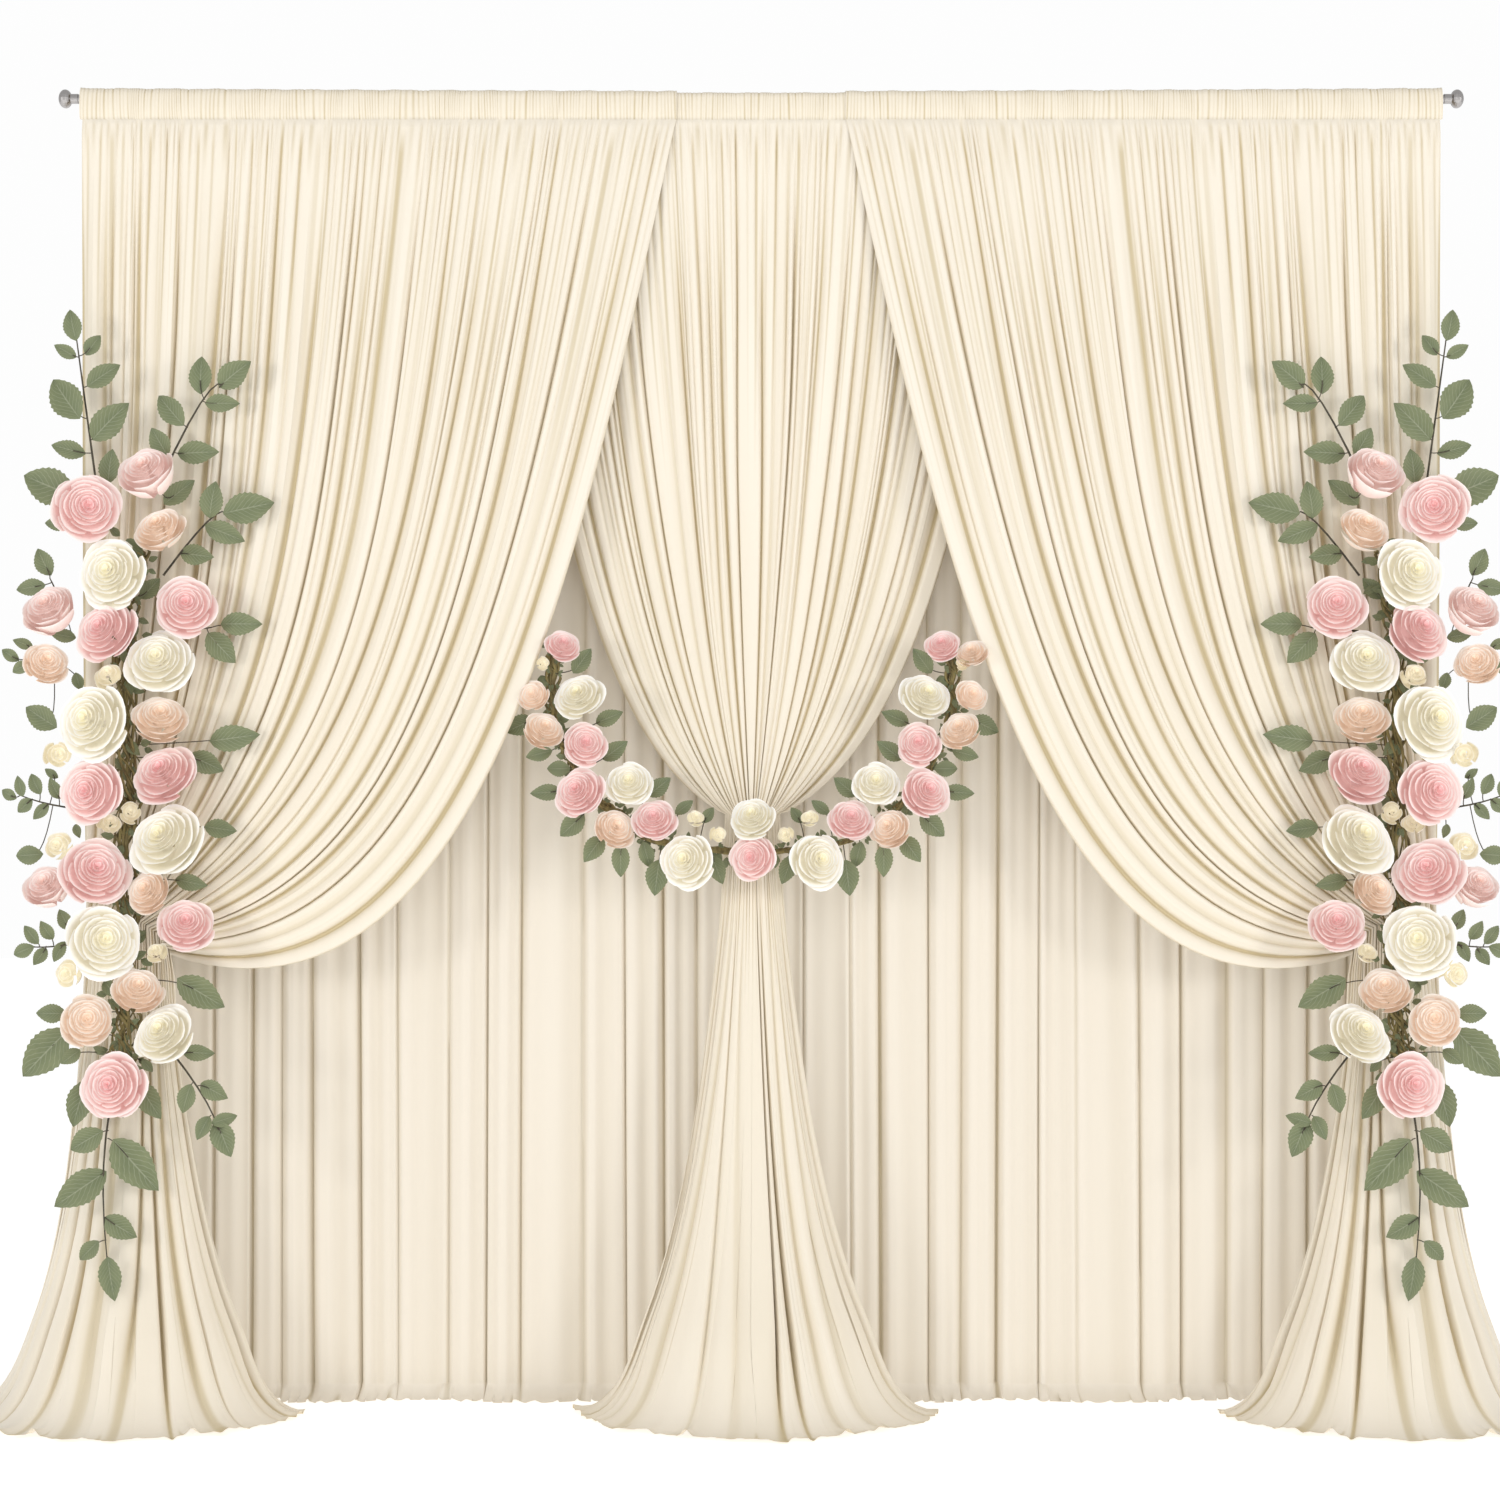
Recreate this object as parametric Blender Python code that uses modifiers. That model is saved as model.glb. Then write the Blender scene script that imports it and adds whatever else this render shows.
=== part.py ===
"""Satin backdrop curtain: a back panel, two swagged side panels and a centre panel, gathered on one rod.

Three flower garlands are tied to it: one down each side, over the gathers, and one across the centre
gather.  Frame: metres, +Z up, +X to the right, and the front faces -Y.  The origin is on the rod's axis, at
mid-length.
"""

import math

import bmesh
import bpy
import numpy as np
from mathutils import Matrix, Vector
from mathutils.bvhtree import BVHTree

# Driving dimensions, in metres
HALF_WIDTH = 1.524  # half of the gathered width along the rod
DROP = 2.918  # rod axis to floor
CENTRE_HALF = 0.189  # half of the centre panel's heading that shows between the side panels
CENTRE_OVERLAP = 0.411  # length of its heading inside each side panel's pocket
CLOTH = 0.002  # thickness of a layer with its turnings
ROD_RADIUS = 0.0095
ROD_HALF = 1.5300
FINIAL = {"radius": 0.021, "half length": 0.015, "centre": 0.0288, "collar": 0.011, "rings": 9, "sides": 20}
SEAT = 0.0003  # gap that touching pieces keep
REST = 0.0006  # gap that a garland keeps to the cloth it rests on
FLOOR = -DROP
LYING_HEIGHT = 0.25  # above the floor, where folds start to turn from forward to upward
MM = 0.001

STITCH = -0.050  # height of the stitch line under the rod

# Rod pockets, inner faces: half depth, top, depth of the front at the stitch line, and depth of the back
# flap's foot.  The side panels' pockets go over the centre panel's.
CENTRE_POCKET = {"half depth": 0.0105, "top": ROD_RADIUS + SEAT, "front": -0.0080, "flap": 0.0125}
SIDE_POCKET = {"half depth": 0.0130, "top": 0.0122, "front": -0.0105, "flap": 0.0150}
FLAP_FOOT = -0.045
FRONT = SIDE_POCKET["front"]
INNER_FRONT = CENTRE_POCKET["front"]

# Fold lines of a side panel between stitch line and tie, each a cubic with four control points (x, y, z)
SIDE_HANG = {
    "outer edge": [
        (-1.524, FRONT, STITCH), (-1.524, -0.030, -0.65), (-1.515, -0.040, -1.25), (-1.500, -0.050, -1.86),
    ],
    "middle": [
        (-0.857, FRONT, STITCH), (-0.925, -0.090, -1.01), (-0.975, -0.150, -1.44), (-1.385, -0.090, -1.835),
    ],
    "inner edge": [
        (-0.190, FRONT, STITCH), (-0.388, -0.110, -1.00), (-0.595, -0.240, -2.14), (-1.310, -0.060, -1.91),
    ],
}
SIDE_FOLDS = {"count": 15, "edge band": 0.045, "lead": 0.6}
SIDE_POOL = {"x": -1.39, "back": -0.10, "half width": 0.39, "reach": 0.31, "drop": 0.52, "spread": 0.43}

# Fold lines of the centre panel's left half between stitch line and gather
CENTRE_HANG = {
    "edge": [
        (-0.600, INNER_FRONT, STITCH), (-0.439, -0.012, -0.488), (-0.450, -0.015, -1.347),
        (-0.076, -0.035, -1.60),
    ],
    "middle": [
        (0.0, INNER_FRONT, STITCH), (0.0, -0.030, -0.55), (-0.010, -0.050, -1.20), (-0.020, -0.075, -1.60),
    ],
}
CENTRE_FOLDS = {"count": 15, "edge band": 0.05, "lead": 2.1}
CENTRE_POOL = {"x": -0.008, "back": -0.10, "half width": 0.40, "reach": 0.31, "drop": 0.50, "spread": 0.40}

# Rows of a gathered panel: share of the way down, and the height of its folds there
SIDE_HANG_ROWS = [
    (0.0, 0.001), (0.07, 0.009), (0.29, 0.018), (0.50, 0.026), (0.64, 0.027), (0.76, 0.025), (0.88, 0.017),
    (1.0, 0.008),
]
SIDE_TAIL_ROWS = [(0.20, 0.013), (0.45, 0.024), (0.70, 0.030), (0.90, 0.0), (1.0, 0.0)]
CENTRE_HANG_ROWS = [
    (0.0, 0.0), (0.07, 0.005), (0.25, 0.015), (0.43, 0.018), (0.60, 0.017), (0.76, 0.014), (0.90, 0.009),
    (1.0, 0.004),
]
CENTRE_TAIL_ROWS = [(0.20, 0.010), (0.45, 0.020), (0.70, 0.028), (0.90, 0.0), (1.0, 0.0)]

# Shadow lines between the back panel's pleats, X in millimetres
BACK_VALLEYS = [
    -1520, -1430, -1335, -1240, -1150, -1080, -1010, -905, -825, -710, -620, -540, -395, -305, -222, -150,
    -60, 20, 100, 205, 267, 375, 450, 535, 632, 715, 855, 945, 1050, 1135, 1240, 1330, 1430, 1520,
]
BACK_PANEL_DEPTH = 0.0195

# A pleat's ridge stands forward by PLEAT_DEPTH times (PLEAT_LEAST + PLEAT_GROWTH * its width)
PLEAT_DEPTH = 0.028
PLEAT_LEAST = 0.25
PLEAT_GROWTH = 7.0
PLEAT_SKEW = 0.12  # share of its width by which a ridge lies off the pleat's middle, at most

# Rows of the back panel: height, depth behind its top edge, and share of the pleats' full depth
BACK_ROWS = [
    (-0.004, 0.0, 0.0), (-0.048, 0.0, 0.0), (-0.30, 0.030, 0.4), (-2.70, 0.045, 1.0), (FLOOR, 0.035, 0.9),
    (FLOOR, -0.010, 0.6),
]

# Roses of the left garland: x and z in millimetres, radius in millimetres
SIDE_ROSES = [
    (-1330, -860, 61), (-1455, -935, 74), (-1305, -980, 61), (-1405, -1075, 78), (-1540, -1155, 57),
    (-1245, -1145, 67), (-1420, -1200, 72), (-1305, -1265, 74), (-1550, -1270, 52), (-1450, -1395, 85),
    (-1300, -1390, 65), (-1295, -1510, 72), (-1450, -1550, 72), (-1290, -1650, 85),
    (-1440, -1720, 76), (-1545, -1755, 50), (-1330, -1765, 54), (-1245, -1835, 61),
    (-1420, -1870, 80), (-1350, -1980, 61), (-1460, -2045, 61), (-1295, -2070, 70),
    (-1405, -2185, 72),
]
SIDE_CORE_RADIUS = 0.028
SIDE_CORE = [(-1375, -880), (-1400, -1200), (-1385, -1500), (-1390, -1800), (-1385, -2050), (-1405, -2200)]

# Plane of a side garland: back above the tie, forward over the widening tail below it
TIE_HEIGHT = -1900  # millimetres
LEAN_BACK = 0.045
LEAN_FORWARD = 0.16
LEAN_POWER = 1.6

# Bare sprigs of the left garland, as joints (x, z) in millimetres from the core outwards
SIDE_SPRIGS = [
    [(-1440, -930), (-1475, -670), (-1490, -560)],
    [(-1310, -880), (-1220, -705), (-1170, -665)],
    [(-1300, -1080), (-1205, -963), (-1165, -946)],
    [(-1450, -1590), (-1612, -1557)],
    [(-1430, -1860), (-1586, -1887)],
    [(-1320, -2070), (-1225, -2194), (-1181, -2285)],
    [(-1405, -2190), (-1430, -2360), (-1423, -2565)],
]

# Leaves of the left garland in millimetres: root x and z on the stem, tip x and z, leaf length
SIDE_LEAVES = [
    (-1490, -560, -1505, -500, 70), (-1475, -672, -1395, -620, 85), (-1466, -735, -1545, -650, 105),
    (-1457, -800, -1375, -705, 110), (-1450, -850, -1545, -795, 85), (-1455, -915, -1610, -860, 130),
    (-1220, -705, -1220, -600, 85), (-1170, -665, -1110, -615, 75), (-1245, -755, -1315, -685, 85),
    (-1265, -800, -1180, -810, 85), (-1205, -963, -1185, -875, 80), (-1165, -946, -1060, -920, 105),
    (-1205, -963, -1125, -1005, 75), (-1540, -1140, -1575, -1030, 80), (-1250, -1150, -1085, -1185, 95),
    (-1555, -1270, -1650, -1240, 60), (-1460, -1400, -1605, -1365, 100), (-1300, -1400, -1090, -1425, 120),
    (-1580, -1563, -1590, -1505, 50), (-1612, -1557, -1655, -1540, 45), (-1290, -1645, -1140, -1635, 85),
    (-1586, -1887, -1632, -1900, 50), (-1330, -1960, -1170, -2020, 135), (-1460, -2050, -1610, -2170, 150),
    (-1225, -2194, -1250, -2270, 65), (-1181, -2285, -1157, -2345, 65), (-1410, -2190, -1500, -2285, 105),
    (-1400, -2190, -1310, -2260, 95), (-1425, -2320, -1318, -2415, 120), (-1429, -2370, -1530, -2450, 120),
    (-1426, -2460, -1362, -2520, 80), (-1423, -2565, -1405, -2655, 95),
]

# Centre garland, half of it in millimetres from its own middle
CENTRE_GARLAND_X = -0.020
CENTRE_CORE_RADIUS = 0.018
CENTRE_ROSES = [
    (-415, -1230, 40), (-380, -1340, 57), (-480, -1340, 37), (-455, -1415, 48), (-365, -1445, 48),
    (-375, -1550, 57), (-270, -1530, 51), (-300, -1630, 48), (-215, -1610, 48), (-145, -1700, 61),
    (-110, -1620, 26),
]
CENTRE_MIDDLE_ROSES = {"upper": -1605, "lower": -1690, "radius": 51}
CENTRE_CORE = [(-430, -1230), (-435, -1400), (-350, -1560), (-220, -1655), (8, -1692)]
CENTRE_LEAVES = [
    (-380, -1270, -345, -1215, 70), (-480, -1360, -545, -1415, 75), (-360, -1420, -285, -1370, 80),
    (-420, -1490, -500, -1460, 75), (-330, -1480, -265, -1440, 80), (-420, -1560, -495, -1560, 85),
    (-400, -1600, -455, -1665, 85), (-320, -1660, -350, -1745, 80), (-220, -1680, -235, -1780, 85),
    (-80, -1720, -55, -1775, 70),
]

SIDE_GARLAND = {
    "core": SIDE_CORE, "core radius": SIDE_CORE_RADIUS, "roses": SIDE_ROSES, "sprigs": SIDE_SPRIGS,
    "leaves": SIDE_LEAVES,
}
CENTRE_GARLAND = {
    "core": CENTRE_CORE, "core radius": CENTRE_CORE_RADIUS, "roses": CENTRE_ROSES, "sprigs": [],
    "leaves": CENTRE_LEAVES,
}
CLEAR_OF_CLOTH = -0.6  # depth at which a garland starts before it is laid against the cloth

# Shapes of a garland's pieces, in metres or as shares
ROSE = {"flatness": 0.60, "forward": 0.6, "wander": 0.004, "turn": 0.37, "own stalk beyond": 0.75}
LEAF = {
    "half width": 0.33, "half thickness": 0.0036, "sink": 0.012,
    "root depth": 0.0118, "root wander": 0.001, "tip depth": 0.014, "tip wander": 0.006,
}
STALK_RADIUS = 0.005
MIDDLE_STALK_RADIUS = 0.006
STEM_RADIUS = 0.004
STEM_FORWARD = 0.012
JOINT_SWELL = 1.15  # of a core's joint over the core


def material(name, colour, roughness, metallic=0.0):
    """One Principled material for a sub-part."""
    made = bpy.data.materials.new(name)
    made.use_nodes = True
    shader = made.node_tree.nodes["Principled BSDF"]
    shader.inputs["Base Color"].default_value = (*colour, 1.0)
    shader.inputs["Roughness"].default_value = roughness
    shader.inputs["Metallic"].default_value = metallic
    return made


def place(name, mesh, collection, surface=None):
    """Link a mesh as a named object."""
    piece = bpy.data.objects.new(name, mesh)
    if surface:
        mesh.materials.append(surface)
    collection.objects.link(piece)
    return piece


def smooth_step(value, low, high):
    """0 below low, 1 above high, and an S-curve between."""
    ramp = np.clip((value - low) / (high - low), 0.0, 1.0)
    return ramp * ramp * (3.0 - 2.0 * ramp)


def cubic(controls, along):
    """Points of a Bezier cubic; controls are four points, or four rows of points."""
    t = along.reshape(-1, 1, 1)
    p = [np.atleast_2d(np.asarray(point, dtype=float))[None] for point in controls]
    return (1 - t) ** 3 * p[0] + 3 * (1 - t) ** 2 * t * p[1] + 3 * (1 - t) * t * t * p[2] + t**3 * p[3]


def loft(left, middle, right, across):
    """Surface through three hang lines, parabolic from side to side."""
    u = across.reshape(1, -1, 1)
    return left * (1 - u) * (1 - 2 * u) + middle * 4 * u * (1 - u) + right * u * (2 * u - 1)


def folds(count, edge_band, lead):
    """Uneven folds: positions from 0 to 1, and the height of each, 0 in a valley and 1 on a ridge.

    A fold is a narrow valley and a broad ridge with two shoulders.  The last one is a wider rolled edge.
    """
    turn = np.arange(count)
    widths = 1.0 + 0.30 * np.sin(2.4 * turn + lead) + 0.16 * np.sin(5.1 * turn + 2.0 * lead)
    widths *= (1.0 - edge_band) / widths.sum()
    widths = np.append(widths, edge_band)
    starts = np.concatenate([[0.0], np.cumsum(widths)])[:-1]
    heights = 0.80 + 0.20 * np.sin(3.7 * np.append(turn, count) + lead)
    across = np.stack([starts, starts + 0.28 * widths, starts + 0.70 * widths], axis=1)
    relief = np.stack([np.zeros(count + 1), heights, 0.85 * heights], axis=1)
    return np.append(across.ravel(), 1.0), np.append(relief.ravel(), 0.35)


def sheet(name, points, collection, surface):
    """Cloth of even thickness on a grid of points, rows from top to hem; the grid is its back face."""
    rows, columns = points.shape[:2]
    index = np.arange(rows * columns).reshape(rows, columns)
    corners = [index[:-1, :-1], index[1:, :-1], index[1:, 1:], index[:-1, 1:]]
    faces = np.stack(corners, axis=-1).reshape(-1, 4)
    mesh = bpy.data.meshes.new(name)
    mesh.from_pydata(points.reshape(-1, 3).tolist(), [], faces.tolist())
    mesh.shade_smooth()
    piece = place(name, mesh, collection, surface)
    body = piece.modifiers.new("cloth", "SOLIDIFY")
    body.thickness = CLOTH
    body.offset = 1.0
    return piece


def pocket_rows(header_x, pocket):
    """Rod pocket rows above the stitch line: the flap's foot behind the rod, then the two upper corners."""
    half = pocket["half depth"]
    rows = []
    for depth, height in [(pocket["flap"], FLAP_FOOT), (half, pocket["top"]), (-half, pocket["top"])]:
        same = np.ones_like(header_x)
        rows.append(np.stack([header_x, depth * same, height * same], axis=1))
    return np.stack(rows)


def gathered_panel(pocket, hang, tail, relief, heights):
    """Rows of a panel from its pocket through the gather to the pool on the floor.

    pocket holds the rows over the rod, hang those from stitch line to gather, tail those to the hem.  The
    relief pushes ridges forward where the cloth hangs and upward where it lies; heights holds the folds'
    height in each row.
    """
    path = np.concatenate([hang, tail])
    lying = smooth_step(-path[:, :, 2], DROP - LYING_HEIGHT, DROP)[..., None]
    lift = np.array([0.0, -1.0, 0.0]) * (1.0 - lying) + np.array([0.0, 0.0, 1.0]) * lying
    path = path + lift * (relief[None, :] * heights[:, None])[..., None]
    return np.concatenate([pocket, path])


def pool_tail(gather, pool, across, along):
    """Tail from the gather down to a half-round pool; its last rows lie flat on the floor."""
    turn = (across - 0.5) * math.pi
    hem_x = pool["x"] + pool["half width"] * np.sin(turn)
    hem_y = pool["back"] - pool["reach"] * np.cos(turn)
    hem = np.stack([hem_x, hem_y, np.full_like(hem_x, FLOOR)], axis=1)
    height = gather[:, 2] - FLOOR
    first = gather + 0.10 * (hem - gather)
    first[:, 2] = gather[:, 2] - pool["drop"] * height
    second = gather + pool["spread"] * (hem - gather)
    second[:, 2] = FLOOR
    return cubic([gather, first, second, hem], along)


def side_panel(name, collection, surface, mirror):
    """Side panel: straight outer edge, inner edge swept out to the tie, tail and pool below it."""
    across, relief = folds(SIDE_FOLDS["count"], SIDE_FOLDS["edge band"], SIDE_FOLDS["lead"])
    down, hang_heights = np.array(SIDE_HANG_ROWS).T
    along, tail_heights = np.array(SIDE_TAIL_ROWS).T
    lines = [cubic(SIDE_HANG[key], down) for key in ("outer edge", "middle", "inner edge")]
    hang = loft(*lines, across)
    tail = pool_tail(hang[-1], SIDE_POOL, across, along)
    pocket = pocket_rows(-HALF_WIDTH + across * (HALF_WIDTH - CENTRE_HALF), SIDE_POCKET)
    points = gathered_panel(pocket, hang, tail, relief, np.append(hang_heights, tail_heights))
    if mirror:
        points = points[:, ::-1] * np.array([-1.0, 1.0, 1.0])
    return sheet(name, points, collection, surface)


def centre_panel(collection, surface):
    """Centre panel: a fan behind the side panels, drawn to one gather, with its own tail and pool."""
    across, relief = folds(CENTRE_FOLDS["count"], CENTRE_FOLDS["edge band"], CENTRE_FOLDS["lead"])
    down, hang_heights = np.array(CENTRE_HANG_ROWS).T
    along, tail_heights = np.array(CENTRE_TAIL_ROWS).T
    left = cubic(CENTRE_HANG["edge"], down)
    right = left * np.array([-1.0, 1.0, 1.0])
    gather_shift = 2.0 * CENTRE_HANG["middle"][-1][0] * down**3
    right[:, :, 0] += gather_shift[:, None]
    hang = loft(left, cubic(CENTRE_HANG["middle"], down), right, across)
    tail = pool_tail(hang[-1], CENTRE_POOL, across, along)
    heading_half = CENTRE_HALF + CENTRE_OVERLAP
    pocket = pocket_rows(heading_half * (2.0 * across - 1.0), CENTRE_POCKET)
    points = gathered_panel(pocket, hang, tail, relief, np.append(hang_heights, tail_heights))
    return sheet("centre_panel", points, collection, surface)


def back_panel(collection, surface):
    """Back panel: straight broad pleats from the pockets' back to a hem that turns forward on the floor."""
    valleys = np.array(BACK_VALLEYS) * MM
    widths = np.diff(valleys)
    ridges = valleys[:-1] + widths * (0.5 + PLEAT_SKEW * np.sin(1.9 * np.arange(len(widths))))
    x = np.empty(2 * len(ridges) + 1)
    x[0::2] = valleys
    x[1::2] = ridges
    relief = np.zeros_like(x)
    relief[1::2] = PLEAT_LEAST + PLEAT_GROWTH * widths
    grid = []
    for height, depth, share in BACK_ROWS:
        y = BACK_PANEL_DEPTH + depth - PLEAT_DEPTH * share * relief
        grid.append(np.stack([x, y, np.full_like(x, height)], axis=1))
    return sheet("back_panel", np.stack(grid), collection, surface)


def along_rod(mesh, side):
    """Turn a shape made about +Z so that +Z points along the rod, to the given side."""
    mesh.transform(Matrix.Rotation(side * math.pi / 2.0, 4, "Y"))


def rod(collection, surface):
    """Round rod through the pockets."""
    shape = bmesh.new()
    length = 2.0 * (ROD_HALF - SEAT)
    bmesh.ops.create_cone(
        shape, cap_ends=True, segments=16, radius1=ROD_RADIUS, radius2=ROD_RADIUS, depth=length
    )
    mesh = bpy.data.meshes.new("rod")
    shape.to_mesh(mesh)
    shape.free()
    along_rod(mesh, 1)
    mesh.shade_smooth()
    mesh.set_sharp_from_angle(angle=math.radians(40))
    return place("rod", mesh, collection, surface)


def finial(name, side, collection, surface):
    """Flattened ball on a short round neck against the rod's end: a turned profile about its own axis."""
    radius = FINIAL["radius"]
    half = FINIAL["half length"]
    centre = FINIAL["centre"]
    rings = FINIAL["rings"]
    start = math.pi - math.asin(FINIAL["collar"] / radius)
    turns = [start * (1.0 - i / rings) for i in range(rings)]
    ball = [(radius * math.sin(turn), centre + half * math.cos(turn)) for turn in turns]
    profile = [(0.0, 0.0), (FINIAL["collar"], 0.0)] + ball
    profile.append((0.0, centre + half))
    profile.reverse()
    mesh = bpy.data.meshes.new(name)
    edges = [(i, i + 1) for i in range(len(profile) - 1)]
    mesh.from_pydata([(away, 0.0, height) for away, height in profile], edges, [])
    piece = place(name, mesh, collection, surface)
    screw = piece.modifiers.new("turned", "SCREW")
    screw.steps = FINIAL["sides"]
    screw.render_steps = FINIAL["sides"]
    screw.use_merge_vertices = True
    screw.merge_threshold = 0.0001
    piece.location = (side * ROD_HALF, 0.0, 0.0)
    piece.rotation_euler = (0.0, side * math.pi / 2.0, 0.0)
    return piece


def blob(name, centre, size, collection, segments=6, rings=3, facing=None):
    """Coarse rounded body, size along its own X, Y and Z; its own Z is aimed along facing."""
    shape = bmesh.new()
    bmesh.ops.create_uvsphere(shape, u_segments=segments, v_segments=rings, radius=1.0)
    bmesh.ops.rotate(shape, cent=(0, 0, 0), matrix=Matrix.Rotation(math.pi / 2.0, 3, "X"), verts=shape.verts)
    bmesh.ops.scale(shape, vec=size, verts=shape.verts)
    if facing is not None:
        own_z = facing.normalized()
        own_x = Vector((0.0, 1.0, 0.0)).cross(own_z).normalized()
        frame = Matrix((own_x, own_z.cross(own_x), own_z)).transposed()
        bmesh.ops.rotate(shape, cent=(0, 0, 0), matrix=frame, verts=shape.verts)
    bmesh.ops.translate(shape, vec=centre, verts=shape.verts)
    mesh = bpy.data.meshes.new(name)
    shape.to_mesh(mesh)
    shape.free()
    return place(name, mesh, collection)


def stick(name, start, end, radius, sides, collection):
    """Straight prism between two points."""
    start = Vector(start)
    run = Vector(end) - start
    shape = bmesh.new()
    bmesh.ops.create_cone(
        shape, cap_ends=True, segments=sides, radius1=radius, radius2=radius, depth=run.length
    )
    aim = run.to_track_quat("Z", "Y").to_matrix().to_4x4()
    bmesh.ops.transform(shape, matrix=Matrix.Translation(start + 0.5 * run) @ aim, verts=shape.verts)
    mesh = bpy.data.meshes.new(name)
    shape.to_mesh(mesh)
    shape.free()
    return place(name, mesh, collection)


def in_plane(x, z, depth, side):
    """Point from millimetres in the garland's plane; side -1 mirrors it to the right."""
    return Vector((side * x * MM, depth + lean(z), z * MM))


def lean(z):
    """Depth of a garland's plane at a height: back above the tie, forward over the widening tail below it."""
    above = max(0.0, (z - TIE_HEIGHT) * MM)
    below = max(0.0, (TIE_HEIGHT - z) * MM)
    return LEAN_BACK * min(1.0, above) - LEAN_FORWARD * below**LEAN_POWER


def nearest_on_core(x, z, core):
    """Nearest point (x, z) on the core's polyline."""
    here = np.array([x, z], dtype=float)
    best = None
    for start, end in zip(np.array(core[:-1], dtype=float), np.array(core[1:], dtype=float)):
        run = end - start
        share = min(1.0, max(0.0, float((here - start) @ run / (run @ run))))
        point = start + share * run
        if best is None or np.linalg.norm(point - here) < np.linalg.norm(best - here):
            best = point
    return best


def middle_roses(group, core_radius):
    """Two roses on the centre garland's own middle line, one above the other, with the upper one's stalk."""
    size = CENTRE_MIDDLE_ROSES["radius"] * MM
    centres = [in_plane(0.0, CENTRE_MIDDLE_ROSES[key], -core_radius, 1) for key in ("upper", "lower")]
    for centre in centres:
        blob("rose", centre, (size, ROSE["flatness"] * size, size), group)
    stick("stalk", *centres, MIDDLE_STALK_RADIUS, 4, group)


def add_core(core, core_radius, side, group):
    """Straight lengths of the core, and a swelling at each of their joints."""
    for start, end in zip(core[:-1], core[1:]):
        stick("core", in_plane(*start, 0.0, side), in_plane(*end, 0.0, side), core_radius, 4, group)
    for x, z in core[1:-1]:
        blob("joint", in_plane(x, z, 0.0, side), (core_radius * JOINT_SWELL,) * 3, group, segments=4)


def add_roses(roses, core, core_radius, side, group):
    """Roses a little forward of the core; those that lie beyond it have a stalk."""
    for number, (x, z, radius) in enumerate(roses):
        size = (radius * MM, ROSE["flatness"] * radius * MM, radius * MM)
        depth = -ROSE["forward"] * core_radius - ROSE["wander"] * math.sin(2.3 * number)
        centre = in_plane(x, z, depth, side)
        turn = ROSE["turn"] * number
        blob("rose", centre, size, group, segments=5, facing=Vector((math.sin(turn), 0.0, math.cos(turn))))
        carrier = nearest_on_core(x, z, core)
        if math.dist(carrier, (x, z)) > ROSE["own stalk beyond"] * radius:
            stick("stalk", in_plane(*carrier, 0.0, side), centre, STALK_RADIUS, 3, group)


def add_sprigs(sprigs, core, side, group):
    """Bare stems from the core outwards."""
    for joints in sprigs:
        route = [nearest_on_core(*joints[0], core)] + joints
        points = [in_plane(*joint, -STEM_FORWARD, side) for joint in route]
        for start, end in zip(points[:-1], points[1:]):
            stick("stem", start, end, STEM_RADIUS, 3, group)


def add_leaves(leaves, core, side, group):
    """Flat pointed leaves, each sunk a little into what carries its root; given a core, they grow from it."""
    for number, (root_x, root_z, tip_x, tip_z, length) in enumerate(leaves):
        if core:
            root_x, root_z = nearest_on_core(root_x, root_z, core)
        root_depth = -LEAF["root depth"] - LEAF["root wander"] * math.sin(number)
        tip_depth = -LEAF["tip depth"] - LEAF["tip wander"] * math.sin(1.7 * number)
        root = in_plane(root_x, root_z, root_depth, side)
        tip = in_plane(tip_x, tip_z, tip_depth, side)
        root += (root - tip).normalized() * LEAF["sink"]
        size = (LEAF["half width"] * length * MM, LEAF["half thickness"], 0.5 * (root - tip).length)
        blob("leaf", 0.5 * (root + tip), size, group, segments=4, rings=2, facing=tip - root)


def garland(name, column, sides, parts, cutters, surface):
    """One garland body: a twig core with roses, sprigs and leaves, united into one solid.

    sides holds 1 for the shape as listed and -1 for its mirror image.
    """
    group = bpy.data.collections.new(name + "_pieces")
    cutters.children.link(group)
    core = column["core"]
    core_radius = column["core radius"]
    for side in sides:
        add_core(core, core_radius, side, group)
        add_roses(column["roses"], core, core_radius, side, group)
        add_sprigs(column["sprigs"], core, side, group)
        add_leaves(column["leaves"], [] if column["sprigs"] else core, side, group)
    if len(sides) == 2:
        middle_roses(group, core_radius)
    return unite(name, group, parts, surface)


def unite(name, group, parts, surface):
    """Union of all bodies of a group as one object; the group stays as hidden guides."""
    pieces = list(group.objects)
    base = pieces[0]
    group.objects.unlink(base)
    parts.objects.link(base)
    base.name = name
    base.data.name = name
    base.data.materials.append(surface)
    join = base.modifiers.new("united", "BOOLEAN")
    join.operation = "UNION"
    join.operand_type = "COLLECTION"
    join.collection = group
    join.solver = "EXACT"
    for piece in group.objects:
        piece.hide_render = True
        piece.display_type = "WIRE"
    graph = bpy.context.evaluated_depsgraph_get()
    united = bpy.data.meshes.new_from_object(base.evaluated_get(graph))
    base.modifiers.clear()
    base.data = united
    united.name = name
    return base


def mirrored(name, source, collection):
    """Mirror image of a piece across the middle plane, with its faces turned outward again."""
    mesh = source.data.copy()
    mesh.name = name
    mesh.transform(Matrix.Scale(-1.0, 4, Vector((1.0, 0.0, 0.0))))
    mesh.flip_normals()
    return place(name, mesh, collection)


def skin(piece):
    """World-space corners and faces of an object's evaluated mesh."""
    body = piece.evaluated_get(bpy.context.evaluated_depsgraph_get())
    mesh = body.to_mesh()
    corners = [piece.matrix_world @ vertex.co for vertex in mesh.vertices]
    faces = [tuple(face.vertices) for face in mesh.polygons]
    body.to_mesh_clear()
    return corners, faces


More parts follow.
